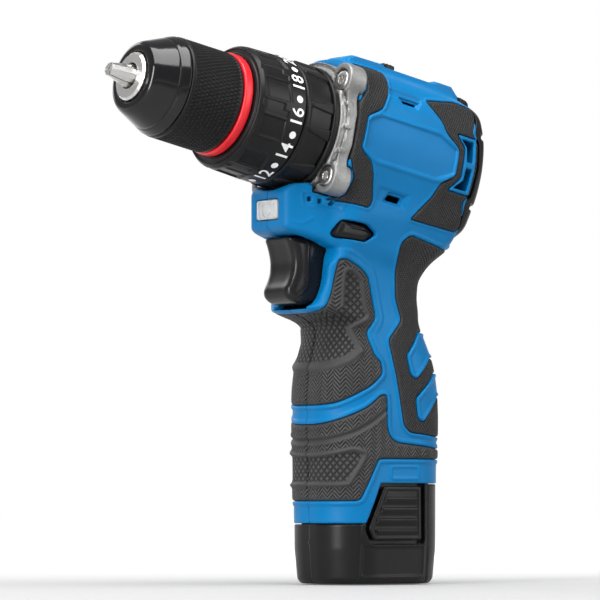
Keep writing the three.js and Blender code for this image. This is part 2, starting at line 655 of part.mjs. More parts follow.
const housing = housingHalf();
add(drill, 'housing_left', housing, BLUE);
add(drill, 'housing_right', mirrored(housing), BLUE);
for (const [name, pad] of Object.entries(PADS)) {
  add(drill, `${name}_left`, biggest(pad), RUBBER);
  add(drill, `${name}_right`, mirrored(biggest(pad)), RUBBER);
}

add(barrel, 'rear_cap', rearCap(), BLACK);
add(barrel, 'gearbox_flange', gearboxFlange(), CAST);
[[1, 1], [-1, 1], [-1, -1], [1, -1]].forEach(([y, z], i) => {
  add(barrel, `flange_screw_${i + 1}`, flangeScrew(y * FLANGE.lugY, z * FLANGE.lugZ), STEEL);
});
add(barrel, 'speed_slider', speedSlider(), BLACK);
add(barrel, 'dust_ring', dustRing(), BLUE);
add(barrel, 'mode_ring', modeRing(), BLACK);
add(barrel, 'torque_ring', torqueRing(), BLACK);
add(barrel, 'lock_ring', lockRing(), RED);
add(barrel, 'chuck_sleeve', chuckSleeve(), BLACK);
add(barrel, 'chuck_nose', chuckNose(), GLOSS_BLACK);
add(barrel, 'chuck_nut', chuckNut(), DARK_STEEL);
add(barrel, 'chuck_body', chuckBody(), STEEL);
for (let i = 0; i < 3; i += 1) add(barrel, `jaw_${i + 1}`, jaw(i), STEEL);

add(barrel, 'clutch_spring', clutchSpring(), DARK_STEEL);
add(barrel, 'gearbox_case', gearboxCase(), DARK_STEEL);
add(barrel, 'ring_gear_1', ringGear(-42.3, -36.2), DARK_STEEL);
add(barrel, 'ring_gear_2', ringGear(-32.6, -26.2), DARK_STEEL);
add(barrel, 'output_spindle', outputSpindle(), DARK_STEEL);
add(barrel, 'carrier_1', carrierOne(), DARK_STEEL);
for (let i = 0; i < PLANET_COUNT; i += 1) {
  add(barrel, `planet_1_${i + 1}`, planetGear(i, -42.1, -36.4), DARK_STEEL);
  add(barrel, `planet_2_${i + 1}`, planetGear(i, -32.2, -26.4), DARK_STEEL);
}
add(barrel, 'sun_pinion', sunPinion(), DARK_STEEL);
add(barrel, 'rotor', rotor(), DARK_STEEL);
add(barrel, 'fan', fan(), BLACK);
add(barrel, 'motor_can', motorCan(), DARK_STEEL);
add(barrel, 'rear_bearing', rearBearing(), STEEL);

add(drill, 'trigger', trigger(), BLACK);
add(drill, 'direction_selector', directionSelector(), BLACK);
add(drill, 'switch_module', switchModule(), BLACK);
add(drill, 'controller_board', controllerBoard(), BOARD);
add(drill, 'terminal_block', terminalBlock(), BLACK);
add(drill, 'lamp_lens', lampLens(), CLEAR);

add(drill, 'battery_case', batteryCase(), BLACK);
cellPlaces.forEach((place, i) => add(drill, `battery_cell_${i + 1}`, batteryCell(place), CELL_WRAP));
add(drill, 'latch_left', latch(), BLACK);
add(drill, 'latch_right', mirrored(latch()), BLACK);

export default drill;
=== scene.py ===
"""Looks for the cordless drill: fine moulded shells, chuck, rings, battery and studio light."""
import json
import math
from functools import reduce

import bpy
import numpy as np
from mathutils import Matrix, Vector


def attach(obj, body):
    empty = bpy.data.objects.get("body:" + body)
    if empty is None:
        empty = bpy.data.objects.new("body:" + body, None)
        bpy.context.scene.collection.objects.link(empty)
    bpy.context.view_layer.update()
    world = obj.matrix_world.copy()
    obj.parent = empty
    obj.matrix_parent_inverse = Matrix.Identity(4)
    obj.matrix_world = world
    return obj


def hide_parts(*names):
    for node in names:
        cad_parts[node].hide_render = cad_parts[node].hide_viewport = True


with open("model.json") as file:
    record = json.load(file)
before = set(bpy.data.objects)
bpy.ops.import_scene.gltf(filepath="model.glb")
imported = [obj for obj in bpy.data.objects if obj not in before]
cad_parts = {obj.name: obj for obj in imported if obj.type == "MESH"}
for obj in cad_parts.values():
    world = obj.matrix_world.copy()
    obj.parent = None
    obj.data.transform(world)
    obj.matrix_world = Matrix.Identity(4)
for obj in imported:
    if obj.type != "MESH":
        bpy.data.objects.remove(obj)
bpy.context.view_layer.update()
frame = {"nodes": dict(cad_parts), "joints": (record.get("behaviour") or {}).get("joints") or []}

# ---------------- frame and driving sizes, mm
MM = 0.001
SPINDLE = next(j for j in frame["joints"] if j["name"] == "spindle_spin")
AXIS = np.array(SPINDLE["axis"], float)
ORIGIN = np.array(SPINDLE["pos_m"], float) / MM
COS, SIN = AXIS[0], AXIS[2]


def pick(full):
    return full


# sample spacing of the large pieces and of the small ones
CELL = pick(0.42)
FINE = pick(0.3)
WALL = 2.2
PAD_PROUD = 0.6
PAD_DEPTH = 0.8
LIP = 0.45

GRIP_TOP = 152
# grip sections: height, reach forward, reach back, half width, corner radius
GRIP = [
    (16, 26.1, 26.3, 20.6, 17), (50, 26.5, 26.7, 20.6, 17), (62, 26.9, 26.9, 20.6, 17),
    (72, 26.7, 26.5, 20.4, 16.8), (78, 26.0, 25.6, 20.1, 16.5), (84, 24.9, 24.2, 19.4, 16),
    (91, 23.2, 21.6, 18.5, 16), (95, 23.0, 19.6, 18.1, 15.7), (98, 25.5, 18.2, 17.7, 14.5),
    (100, 33.0, 17.4, 17.4, 12), (102, 38.0, 16.8, 17.3, 11), (106, 38, 16.1, 17.3, 11),
    (113, 38, 16.5, 17.6, 11), (118, 38, 20.0, 18.2, 11), (121, 34, 23.0, 18.9, 11),
    (124, 30, 27.5, 19.8, 11), (130, 29, 33.0, 22.0, 10), (136, 28, 34.5, 23.4, 10),
    (GRIP_TOP, 28, 36.0, 23.4, 10),
]
SNOUT_FRONT = 45.3
# snout sections: forward distance, half width, underside height, top height, corner radius
SNOUT = [
    (0, 20.5, 118, 152, 6), (18, 19.2, 121.8, 152, 6), (32, 15.8, 125.8, 151, 4),
    (42, 12.6, 128.8, 148, 2.6), (SNOUT_FRONT, 11.4, 130.0, 145.4, 2.4),
]
# half of the head's outline in side distance and height over the barrel's axis
HEAD = [
    (0, 30.2), (8, 30.2), (20, 24.6), (24.6, 17), (27.4, 6.6),
    (27.4, -6.6), (24.8, -17.4), (21.6, -25), (12, -30), (0, -30),
]
# how the outline scales along the barrel
HEAD_SWELL = [
    (-112.6, 0.74), (-110.6, 0.87), (-107.5, 0.93), (-103.7, 0.955),
    (-97, 0.985), (-84, 1), (-58, 1), (-46, 0.975),
]
HEAD_FRONT = -46.8
RIDGE_HALF = 9.5
RIDGE = [
    (-49, 20), (-50.5, 30.6), (-53.5, 32.4), (-66.6, 32.7), (-68.4, 31.9), (-91.5, 31.9), (-93.5, 33.0),
    (-100.5, 33.0), (-103.6, 30.4), (-112, 29), (-112, 20),
]
FLANGE = {"front": -40.3, "rear": -46.5, "lug_rear": -48.6, "bore": 21.3, "y": 19.8, "v": 18.4, "r": 6.4}

# outlines on the head in barrel axes: distance ahead of the chuck sleeve's rear edge, height over the axis
SHOULDER_PAD = [
    (-49.2, 27.5), (-61.5, 27.5), (-60.8, 18), (-57.5, 10.8), (-51.2, 6.4), (-50.4, -6), (-56, -9.4),
    (-58.6, -14), (-61.5, -23), (-60.4, -26.2), (-45, -26.2), (-49.8, -24), (-50.9, -17), (-46.6, -10),
    (-46.2, 8), (-47.4, 12), (-50.6, 17), (-50.4, 23),
]
REAR_PAD = [
    (-78.5, 20), (-94, 23.6), (-104.2, 23.6), (-104.6, 18.8), (-102.0, 13), (-104.8, 10), (-105.5, 0),
    (-104.8, -10.4), (-102.2, -13.6), (-103.8, -17.4), (-104.4, -22), (-102.6, -25), (-80, -25.6),
    (-87, -15.5), (-89, -9.6), (-94.8, -5.4), (-94.8, 4.8), (-88.5, 9.6), (-86, 13.6),
]
CAP_EDGE = [
    (-105.0, 40), (-105.2, 19), (-102.9, 13.2), (-105.7, 10.2), (-106.4, 0), (-105.7, -10.6), (-103.1, -13.7),
    (-104.6, -17.2), (-105.2, -22), (-103.4, -40), (-140, -40), (-140, 40),
]
HEX_PLATE = [
    (-51.6, 5), (-57.4, 7.9), (-85.4, 7.9), (-93.8, 4.3),
    (-93.8, -4.6), (-86.8, -8.3), (-58.2, -8.3), (-51.6, -4.8),
]
VENTS = [
    [(-95.8, 9.4), (-102.4, 9.6), (-102.6, 1.5), (-99.5, 1.4), (-98.8, 6.6)],
    [(-99.6, -0.9), (-102.8, -0.9), (-102.4, -9.4), (-95.4, -9.6), (-99.3, -6)],
]
VENT_FRAME = [
    (-93.8, 10.6), (-103.5, 10.9), (-104.1, 0), (-103.6, -10.6), (-93.4, -10.9), (-98, -5.6), (-98, 6.4),
]
SIDE_SLOTS = [
    [(-66.6, 17.4), (-75.2, 17.4), (-74.2, 15.6), (-68, 15.6)],
    [(-68.6, -18.4), (-75.6, -18.4), (-74.2, -21.5), (-67, -21.5)],
]
# outlines on the grip in the tool's own axes: forward distance and height
FRONT_PAD = [
    (26.4, 119.8), (22.6, 120.2), (15.6, 117), (11.8, 113.8), (8.2, 98.8), (12.6, 93), (10, 84.4),
    (7.4, 82.4), (6.9, 77.6), (12, 73.3), (19, 69.3), (24, 66.6), (30, 65.4), (60, 65.4), (60, 98.0),
    (34.5, 98.2), (30.9, 101.6), (28.8, 107.6), (27.5, 114.7),
]
LOWER_PAD = [
    (60, 58.2), (29, 58.2), (22, 61.4), (14, 65.4), (8, 70), (5.2, 70), (5.2, 58), (3.6, 54.2),
    (0.4, 52.4), (-21, 50.4), (-60, 50.4), (-60, 46.2), (9.2, 46.2), (16.6, 30.6), (60, 30.6),
]
STRAP_PAD = [
    (-5, 129.8), (-1, 126.8), (-0.2, 122), (-1, 106), (-3.6, 98), (3.2, 90.4), (0, 73), (-2.4, 58.6),
    (-5.6, 56), (-21, 54.6), (-60, 54.6), (-60, 125), (-22, 125.2),
]
STRAP_ISLANDS = [
    [(-5, 84.6), (-12.4, 93.6), (-60, 93.6), (-60, 84.6), (-17.5, 84.6), (-8.6, 76.2), (-6.4, 77.6)],
    [(-8.4, 68.8), (-19.6, 78.4), (-60, 78.4), (-60, 70.2), (-21, 70.2), (-11.4, 60.2), (-9.2, 61.6)],
]
BAY = [
    (60, 134.6), (25.4, 124.0), (26.6, 121.5), (27.6, 113), (28.4, 109.6), (30, 105.8), (32.2, 103.4),
    (35, 102.2), (60, 102.2),
]
BAY_HALF = 9.95
SELECTOR = [(28.4, 129.3), (25.4, 134.1), (15.5, 132.6), (10.9, 129.4), (15.2, 126.6), (27.6, 128.1)]
# lamp: low edge, high edge, half width
LAMP = (134.6, 141.8, 6.4)
SENSOR_PLATE = [(26.2, 142.4), (38.8, 144), (38.4, 139.8), (25.8, 138.2)]
SENSOR_HOLES = [(36.2, 141.7), (32.3, 141.1), (28.4, 140.4)]
# slot of the speed slider: rear end, front end, half width
SPEED_SLOT = (-85.5, -67.5, 7.6)
BATTERY_STEP = [(-60, -20), (60, -20), (60, 22.4), (14.2, 22.4), (8, 37.3), (-60, 37.3)]
LATCH = [(6.0, 36.2), (-11.2, 36.2), (-11.4, 16.2), (11, 16.2), (13.2, 20.4)]


# ---------------- sampled fields
class Grid:
    """A box of sample points. Barrel pieces sample barrel axes, the rest sample the tool's axes."""

    def __init__(self, low, high, cell, barrel=False):
        self.low = np.array(low, float)
        self.cell = cell
        self.barrel = barrel
        counts = np.ceil((np.array(high, float) - self.low) / cell).astype(int) + 1
        x, y, z = [(self.low[i] + cell * np.arange(counts[i])).astype(np.float32) for i in range(3)]
        first, self.y, third = x[:, None, None], y[None, :, None], z[None, None, :]
        self.shape = tuple(counts)
        if barrel:
            self.s, self.v = first, third
            self.x, self.z = None, None
        else:
            self.x, self.z = first, third
            self.s = (first - ORIGIN[0]) * COS + (third - ORIGIN[2]) * SIN
            self.v = (third - ORIGIN[2]) * COS - (first - ORIGIN[0]) * SIN


def distance_2d(a, b, corners):
    """Signed distance from the points (a, b) to a closed outline, negative inside."""
    a, b = np.broadcast_arrays(a, b)
    best = np.full(a.shape, 1e9, np.float32)
    inside = np.zeros(a.shape, bool)
    points = np.array(corners, np.float32)
    for (x0, y0), (x1, y1) in zip(points, np.roll(points, -1, 0)):
        ex, ey = x1 - x0, y1 - y0
        wx, wy = a - x0, b - y0
        t = np.clip((wx * ex + wy * ey) / (ex * ex + ey * ey), 0, 1)
        best = np.minimum(best, (wx - ex * t) ** 2 + (wy - ey * t) ** 2)
        crosses = (y0 > b) != (y1 > b)
        left = wx * ey < ex * wy if ey > 0 else wx * ey > ex * wy
        inside ^= crosses & left
    return np.where(inside, -1, 1) * np.sqrt(best)


def rounded(corners, radius, steps=3):
    """The outline with each corner replaced by a short arc."""
    points = [np.array(p, float) for p in corners]
    out = []
    for i, p in enumerate(points):
        before, after = points[i - 1] - p, points[(i + 1) % len(points)] - p
        reach = min(radius, np.linalg.norm(before) * 0.45, np.linalg.norm(after) * 0.45)
        a = p + before / np.linalg.norm(before) * reach
        b = p + after / np.linalg.norm(after) * reach
        for k in range(steps + 1):
            t = k / steps
            out.append((1 - t) ** 2 * a + 2 * t * (1 - t) * p + t * t * b)
    return out


def meet(*fields):
    """What all the fields have in common."""
    return reduce(np.maximum, fields)


def join(*fields):
    return reduce(np.minimum, fields)


def smooth_min(a, b, k):
    h = np.maximum(k - np.abs(a - b), 0) / k
    return np.minimum(a, b) - h * h * k / 4


def smooth_max(a, b, k):
    return -smooth_min(-a, -b, k)


def cut_away(field, tool, soft):
    """The field without the tool, with the new edge rounded."""
    return smooth_max(field, -tool, soft)


def box_2d(a, b, half_a, half_b, radius):
    qa, qb = np.abs(a) - (half_a - radius), np.abs(b) - (half_b - radius)
    outside = np.hypot(np.maximum(qa, 0), np.maximum(qb, 0))
    return outside + np.minimum(np.maximum(qa, qb), 0) - radius


def step(value, low, high):
    t = np.clip((value - low) / (high - low), 0, 1)
    return t * t * (3 - 2 * t)


def profile(table, at, column, spread=2.0):
    """A smoothed column of a section table, read along its first column."""
    table = np.array(table, float)
    fine = np.arange(table[0, 0] - 12, table[-1, 0] + 12, 0.25)
    raw = np.interp(fine, table[:, 0], table[:, column])
    window = np.hanning(int(spread * 2 / 0.25) * 2 + 1)
    soft = np.convolve(np.pad(raw, len(window) // 2, mode="edge"), window / window.sum(), mode="valid")
    return np.interp(at, fine, soft).astype(np.float32)


def surface(field, grid):
    """Vertices in mm and quads of the zero surface of a sampled field, by surface nets."""
    field = np.ascontiguousarray(field, np.float32)
    for axis in range(3):
        edge = np.moveaxis(field, axis, 0)
        edge[0] = np.maximum(edge[0], 0.01)
        edge[-1] = np.maximum(edge[-1], 0.01)
    inside = field < 0
    nx, ny, nz = (n - 1 for n in field.shape)
    corners = [(i, j, k) for i in (0, 1) for j in (0, 1) for k in (0, 1)]
    count = sum(inside[i:nx + i, j:ny + j, k:nz + k].astype(np.uint8) for i, j, k in corners)
    cells = np.argwhere((count > 0) & (count < 8))
    index = np.full((nx, ny, nz), -1, np.int32)
    index[tuple(cells.T)] = np.arange(len(cells))
    total = np.zeros((len(cells), 3), np.float32)
    hits = np.zeros((len(cells), 1), np.float32)
    for a in corners:
        for axis in range(3):
            if a[axis]:
                continue
            b = tuple(c + (n == axis) for n, c in enumerate(a))
            fa = field[tuple((cells + a).T)]
            fb = field[tuple((cells + b).T)]
            cross = (fa < 0) != (fb < 0)
            t = np.where(cross, fa / np.where(cross, fa - fb, 1), 0)
            spot = np.array(a, np.float32) + t[:, None] * (np.arange(3) == axis)
            total += np.where(cross[:, None], spot, 0)
            hits += cross[:, None]
    local = cells + total / hits
    faces = []
    for axis in range(3):
        u, w = (axis + 1) % 3, (axis + 2) % 3
        low = np.take(inside, range(field.shape[axis] - 1), axis)
        high = np.take(inside, range(1, field.shape[axis]), axis)
        edges = np.argwhere(low != high)
        across = edges[:, [u, w]]
        last = np.array(field.shape)[[u, w]] - 1
        edges = edges[((across > 0) & (across < last)).all(1)]
        unit_u, unit_w = np.eye(3, dtype=int)[u], np.eye(3, dtype=int)[w]
        ring = [edges - unit_u - unit_w, edges - unit_w, edges, edges - unit_u]
        quads = np.stack([index[tuple(r.T)] for r in ring], 1)
        outward = low[tuple(edges.T)]
        quads[~outward] = quads[~outward][:, ::-1]
        faces.append(quads)
    faces = np.concatenate(faces)
    local = relaxed(local, faces, field)
    return grid.low + local * grid.cell, faces


def sampled(field, local):
    """The field at points given in cells, by trilinear interpolation."""
    limit = np.array(field.shape) - 1.001
    p = np.clip(local, 0, limit)
    base = p.astype(int)
    f = p - base
    value = 0
    for i in (0, 1):
        for j in (0, 1):
            for k in (0, 1):
                weight = np.abs(1 - i - f[:, 0]) * np.abs(1 - j - f[:, 1]) * np.abs(1 - k - f[:, 2])
                value = value + weight * field[base[:, 0] + i, base[:, 1] + j, base[:, 2] + k]
    return value


def relaxed(local, faces, field, rounds=2):
    """Evens the vertices out along the surface and pulls them back onto it."""
    pairs = np.concatenate([faces[:, [0, 1]], faces[:, [1, 2]], faces[:, [2, 3]], faces[:, [3, 0]]])
    degree = np.bincount(pairs.ravel(), minlength=len(local))[:, None]
    for _ in range(rounds):
        mean = np.stack([
            np.bincount(pairs[:, 0], local[pairs[:, 1], n], len(local))
            + np.bincount(pairs[:, 1], local[pairs[:, 0], n], len(local)) for n in range(3)
        ], 1) / degree
        local = local + 0.5 * (mean - local)
        nudge = np.eye(3) * 0.5
        slope = np.stack([sampled(field, local + n) - sampled(field, local - n) for n in nudge], 1)
        size = np.maximum((slope ** 2).sum(1, keepdims=True), 1e-3)
        pull = sampled(field, local)[:, None] * slope / size
        local = local - np.clip(pull, -0.5, 0.5)
    return local


# ---------------- making pieces
def to_tool_axes(points):
    s, y, v = points.T
    return np.stack([ORIGIN[0] + s * COS - v * SIN, y, ORIGIN[2] + s * SIN + v * COS], 1)


def make_piece(name, points, faces, body, material, stands_for=()):
    """A smooth mesh from points in mm and equal-sided faces; it rides on a body."""
    faces = np.asarray(faces, np.int32)
    sides = faces.shape[1]
    mesh = bpy.data.meshes.new(name)
    mesh.vertices.add(len(points))
    mesh.vertices.foreach_set("co", (np.asarray(points, np.float32) * MM).ravel())
    mesh.loops.add(faces.size)
    mesh.loops.foreach_set("vertex_index", faces.ravel())
    mesh.polygons.add(len(faces))
    mesh.polygons.foreach_set("loop_start", np.arange(0, faces.size, sides, dtype=np.int32))
    mesh.polygons.foreach_set("loop_total", np.full(len(faces), sides, np.int32))
    mesh.polygons.foreach_set("use_smooth", np.ones(len(faces), bool))
    mesh.update()
    mesh.validate()
    piece = bpy.data.objects.new(name, mesh)
    bpy.context.scene.collection.objects.link(piece)
    mesh.materials.append(material)
    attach(piece, body)
    if stands_for:
        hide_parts(*stands_for)
    return piece


def moulded(name, field, grid, body, material, *stands_for):
    """A piece from its sampled field."""
    points, faces = surface(field, grid)
    if grid.barrel:
        points = to_tool_axes(points)
    make_piece(name, points, faces, body, material, stands_for)


def both_sides(points, faces):
    """The left piece's mesh and its mirror image on the right."""
    return ("left", points, faces), ("right", points * [1, -1, 1], faces[:, ::-1])


def mirrored_whole(half, grid):
    """One closed mesh from the left half of a field, with its cut face flat on the centre plane."""
    points, faces = surface(meet(half, -grid.y), grid)
    flat = points[:, 1] < 0.3
    points[flat, 1] = np.maximum(points[flat, 1], 0) if grid.barrel else 0
    count = len(points)
    (_, points, faces), (_, right, turned_faces) = both_sides(points, faces)
    return np.concatenate([points, right]), np.concatenate([faces, turned_faces + count])


# ---------------- outer form
def head_form(s, y, v):
    swell = profile(HEAD_SWELL, s, 1)
    side, up = np.abs(y) / swell, v / swell
    field = None
    for (y0, v0), (y1, v1) in zip(HEAD, HEAD[1:]):
        length = math.hypot(y1 - y0, v1 - v0)
        ny, nv = (v0 - v1) / length, (y1 - y0) / length
        plane = (side - y0) * ny + (up - v0) * nv
        field = plane if field is None else smooth_max(field, plane, 2.0)
    ridge = meet(distance_2d(s, v, RIDGE), np.abs(y) - RIDGE_HALF)
    taper = np.abs(y) * 0.25
    return smooth_min(field * swell, ridge + np.maximum(taper - 1.6, 0), 1.6)


def grip_form(x, y, z):
    front, back, half, radius = (profile(GRIP, z, n) for n in (1, 2, 3, 4))
    section = box_2d(x - (front - back) / 2, y, (front + back) / 2, half, radius)
    return meet(section, z - GRIP_TOP)


def snout_form(x, y, z):
    half, low, high, radius = (profile(SNOUT, x, n) for n in (1, 2, 3, 4))
    section = box_2d(y, z - (high + low) / 2, half, (high - low) / 2, radius)
    return smooth_max(section, meet(x - SNOUT_FRONT, -x), 3.0)


def outer_form(grid):
    neck = smooth_min(grip_form(grid.x, grid.y, grid.z), snout_form(grid.x, grid.y, grid.z), 3.0)
    head = meet(head_form(grid.s, grid.y, grid.v), grid.s - HEAD_FRONT)
    return smooth_min(neck, head, 2.2)


# ---------------- materials
class Shader:
    """One material's node tree, with short ways to add nodes and join them."""

    def __init__(self, name, color, roughness, metallic=0.0):
        self.material = bpy.data.materials.new(name)
        self.material.use_nodes = True
        self.tree = self.material.node_tree
        self.surface = self.tree.nodes["Principled BSDF"]
        self.put("Base Color", (*color, 1))
        self.put("Roughness", roughness)
        self.put("Metallic", metallic)
        self.place = self.node("ShaderNodeTexCoord").outputs["Object"]

    def feed(self, socket, value):
        if isinstance(value, bpy.types.NodeSocket):
            self.tree.links.new(value, socket)
        else:
            socket.default_value = value

    def put(self, socket, value):
        self.feed(self.surface.inputs[socket], value)

    def node(self, kind, inputs=None, **settings):
        node = self.tree.nodes.new(kind)
        for key, value in settings.items():
            setattr(node, key, value)
        for key, value in (inputs or {}).items():
            self.feed(node.inputs[key], value)
        return node

    def math(self, operation, a, b=0.0):
        return self.node("ShaderNodeMath", {0: a, 1: b}, operation=operation).outputs[0]

    def noise(self, scale, detail=3.0, stretch=(1, 1, 1)):
        mapped = self.node("ShaderNodeMapping", {"Vector": self.place, "Scale": stretch})
        settings = {"Vector": mapped.outputs[0], "Scale": scale, "Detail": detail}
        return self.node("ShaderNodeTexNoise", settings).outputs[0]

    def ramp(self, value, low, high, to_low, to_high):
        settings = {"Value": value, "From Min": low, "From Max": high, "To Min": to_low, "To Max": to_high}
        return self.node("ShaderNodeMapRange", settings).outputs[0]

    def blend(self, factor, a, b):
        node = self.node("ShaderNodeMix", data_type="RGBA")
        self.feed(node.inputs[0], factor)
        self.feed(node.inputs[6], a)
        self.feed(node.inputs[7], b)
        return node.outputs[2]

    def bump(self, height, strength, distance):
        settings = {"Height": height, "Strength": strength, "Distance": distance}
        before = self.surface.inputs["Normal"].links
        if before:
            settings["Normal"] = before[0].from_socket
        self.put("Normal", self.node("ShaderNodeBump", settings).outputs[0])

    def vary(self, color, deeper, scale, roughness, detail=4.0):
        """Colour and roughness that drift a little across the piece."""
        drift = self.noise(scale, detail)
        self.put("Base Color", self.blend(self.ramp(drift, 0.35, 0.65, 0, 1), (*color, 1), (*deeper, 1)))
        self.put("Roughness", self.ramp(drift, 0.3, 0.7, *roughness))


def plastic(name, color, deeper, roughness, grain, specular=0.5, coat=0.0):
    """Moulded plastic with a fine spark-eroded grain."""
    shader = Shader(name, color, roughness[0])
    shader.vary(color, deeper, 60, roughness)
    shader.put("Specular IOR Level", specular)
    shader.put("Coat Weight", coat)
    shader.put("Coat Roughness", 0.08)
    shader.bump(shader.noise(2600, 2), grain, 0.00006)
    shader.bump(shader.noise(240, 3), grain * 0.5, 0.00012)
    return shader.material


# how high the tread's crests and the plain rubber stand, as shares of its pitch; these heights also set how
# dark the painted groove shade makes them
TREAD_TOP = 0.36
TREAD_PLAIN = 0.24


def rubber(name, color, deeper, around, chevrons):
    """Soft overmould with a fine tread, diamonds on the raised panels and none along seams and edges; the
    tread's grooves are painted darker as shade.

    The tread runs around the grip, or flat along the head.
    """
    shader = Shader(name, color, 0.62)
    shader.put("Specular IOR Level", 0.3)
    axes = shader.node("ShaderNodeSeparateXYZ", {0: shader.place}).outputs
    across = axes[0]
    if around:
        forward = shader.math("SUBTRACT", axes[0], 0.001)
        turn = shader.math("ARCTAN2", shader.math("ABSOLUTE", axes[1]), forward)
        across = shader.math("MULTIPLY", turn, 0.023)

    def weave(pitch):
        ways = []
        for operation in ("ADD", "SUBTRACT"):
            slanted = shader.math(operation, across, shader.math("MULTIPLY", axes[2], 0.8))
            ways.append(shader.math("PINGPONG", shader.math("DIVIDE", slanted, pitch), 0.5))
        return ways

    def attribute(mask):
        return shader.node("ShaderNodeAttribute", attribute_name=mask).outputs["Fac"]

    def mixed(mask, a, b):
        return shader.node("ShaderNodeMix", {0: mask, 2: a, 3: b}).outputs[0]

    fine = weave(0.00125 if chevrons else 0.00115)
    if chevrons:
        columns = shader.math("PINGPONG", shader.math("DIVIDE", across, 0.0042), 0.5)
        field = mixed(shader.math("GREATER_THAN", columns, 0.25), *fine)
    else:
        field = shader.math("MINIMUM", *fine)
    tread = mixed(attribute("panel"), field, shader.math("MINIMUM", *weave(0.0023)))
    tread = mixed(attribute("plain"), shader.math("MINIMUM", tread, TREAD_TOP), TREAD_PLAIN)
    shader.bump(tread, 1.0, 0.0011)
    shader.bump(shader.noise(1800, 2), 0.25, 0.00005)
    # painted shade: the base colour darkens down into the tread's grooves and lightens up to its crests
    shade = shader.ramp(tread, 0.05, TREAD_TOP, 0.0, 1.0)
    drift = shader.noise(45, 4)
    worn = shader.blend(shader.ramp(drift, 0.4, 0.7, 0.0, 0.35), (*color, 1), (*deeper, 1))
    shader.put("Base Color", shader.blend(shade, (*deeper, 1), worn))
    shader.put("Roughness", shader.ramp(tread, 0.05, TREAD_TOP, 0.72, 0.56))
    return shader.material


def metal(name, color, deeper, roughness, brushed=0.0, cast=0.0, axis_stretch=(1, 1, 1)):
    """Steel or aluminium: brushed along the barrel, or pitted as cast."""
    shader = Shader(name, color, roughness[0], 1.0)
    shader.vary(color, deeper, 90, roughness)
    if brushed:
        lines = shader.noise(900, 4, axis_stretch)
        shader.bump(lines, brushed, 0.00005)
    if cast:
        shader.bump(shader.noise(1500, 4), cast, 0.00022)
        shader.bump(shader.noise(420, 2), cast * 0.6, 0.0003)
    return shader.material


def clear_plastic():
    shader = Shader("lamp_clear_look", (0.93, 0.95, 0.96), 0.16)
    shader.put("Transmission Weight", 0.55)
    shader.put("IOR", 1.49)
    shader.put("Roughness", shader.ramp(shader.noise(400, 2), 0.3, 0.7, 0.04, 0.1))
    shader.bump(shader.noise(700, 1), 0.15, 0.0001)
    return shader.material


def painted(name, color):
    shader = Shader(name, color, 0.5)
    shader.vary(color, [c * 0.93 for c in color], 300, (0.45, 0.6))
    return shader.material


def board():
    """Circuit board: green lacquer over faint copper tracks."""
    shader = Shader("circuit_board_look", (0.01, 0.12, 0.05), 0.35)
    brick = shader.node("ShaderNodeTexBrick", {
        "Vector": shader.place, "Scale": 260.0, "Mortar Size": 0.03, "Mortar": (0.02, 0.22, 0.09, 1),
        "Color1": (0.008, 0.11, 0.045, 1), "Color2": (0.012, 0.15, 0.06, 1),
    })
    shader.put("Base Color", brick.outputs[0])
    shader.bump(brick.outputs[1], 0.4, 0.00006)
    return shader.material


BLUE = plastic("housing_blue_look", (0.0, 0.150, 0.370), (0.0, 0.138, 0.345), (0.38, 0.48), 0.3, 0.15)
# each rubber's second colour is painted shade in the tread's grooves and also the tone of its random worn
# patches
RUBBER = rubber("grip_rubber_look", (0.058, 0.058, 0.059), (0.011, 0.011, 0.0115), True, True)
STRAP_RUBBER = rubber("strap_rubber_look", (0.040, 0.040, 0.041), (0.009, 0.009, 0.0095), True, False)
HEAD_RUBBER = rubber("head_rubber_look", (0.034, 0.034, 0.035), (0.008, 0.008, 0.0085), False, False)
BLACK = plastic("black_plastic_look", (0.0085, 0.0085, 0.009), (0.0065, 0.0065, 0.007), (0.3, 0.4), 0.25, 0.2)
TRIGGER_BLACK = plastic(
    "trigger_black_look", (0.009, 0.009, 0.0095), (0.007, 0.007, 0.0075), (0.24, 0.32), 0.2, 0.28,
)
GLOSS = plastic(
    "gloss_black_look", (0.006, 0.006, 0.0065), (0.004, 0.004, 0.0045), (0.10, 0.16), 0.05, 0.38, 0.1,
)
RED = plastic("ring_red_look", (0.78, 0.014, 0.024), (0.70, 0.012, 0.020), (0.30, 0.40), 0.2, 0.4)
ALUMINIUM = metal("cast_aluminium_look", (0.36, 0.36, 0.355), (0.25, 0.25, 0.245), (0.5, 0.68), cast=0.8)
BRIGHT = metal(
    "bright_steel_look", (0.74, 0.73, 0.71), (0.60, 0.59, 0.57), (0.26, 0.38), brushed=0.35,
    axis_stretch=(0.08, 1, 1),
)
DARK = metal("dark_steel_look", (0.20, 0.20, 0.205), (0.13, 0.13, 0.135), (0.28, 0.42), brushed=0.3)
BOARD = board()
CLEAR = clear_plastic()
WRAP = plastic("cell_wrap_look", (0.03, 0.16, 0.10), (0.02, 0.13, 0.08), (0.25, 0.35), 0.1, 0.5, 0.3)
WHITE = painted("dial_white", (0.86, 0.86, 0.85))
LED = painted("lamp_led", (0.90, 0.84, 0.50))
LOOKS = {
    "housing_blue": BLUE, "grip_rubber": RUBBER, "black_plastic": BLACK, "gloss_black": GLOSS,
    "ring_red": RED, "cast_aluminium": ALUMINIUM, "bright_steel": BRIGHT, "dark_steel": DARK,
    "circuit_board": BOARD, "lamp_clear": CLEAR, "cell_wrap": WRAP,
}
SLOTS = {look.name: slot for slot, look in LOOKS.items()}
SLOTS[TRIGGER_BLACK.name] = SLOTS[BLACK.name]
SLOTS[STRAP_RUBBER.name] = SLOTS[HEAD_RUBBER.name] = SLOTS[RUBBER.name]


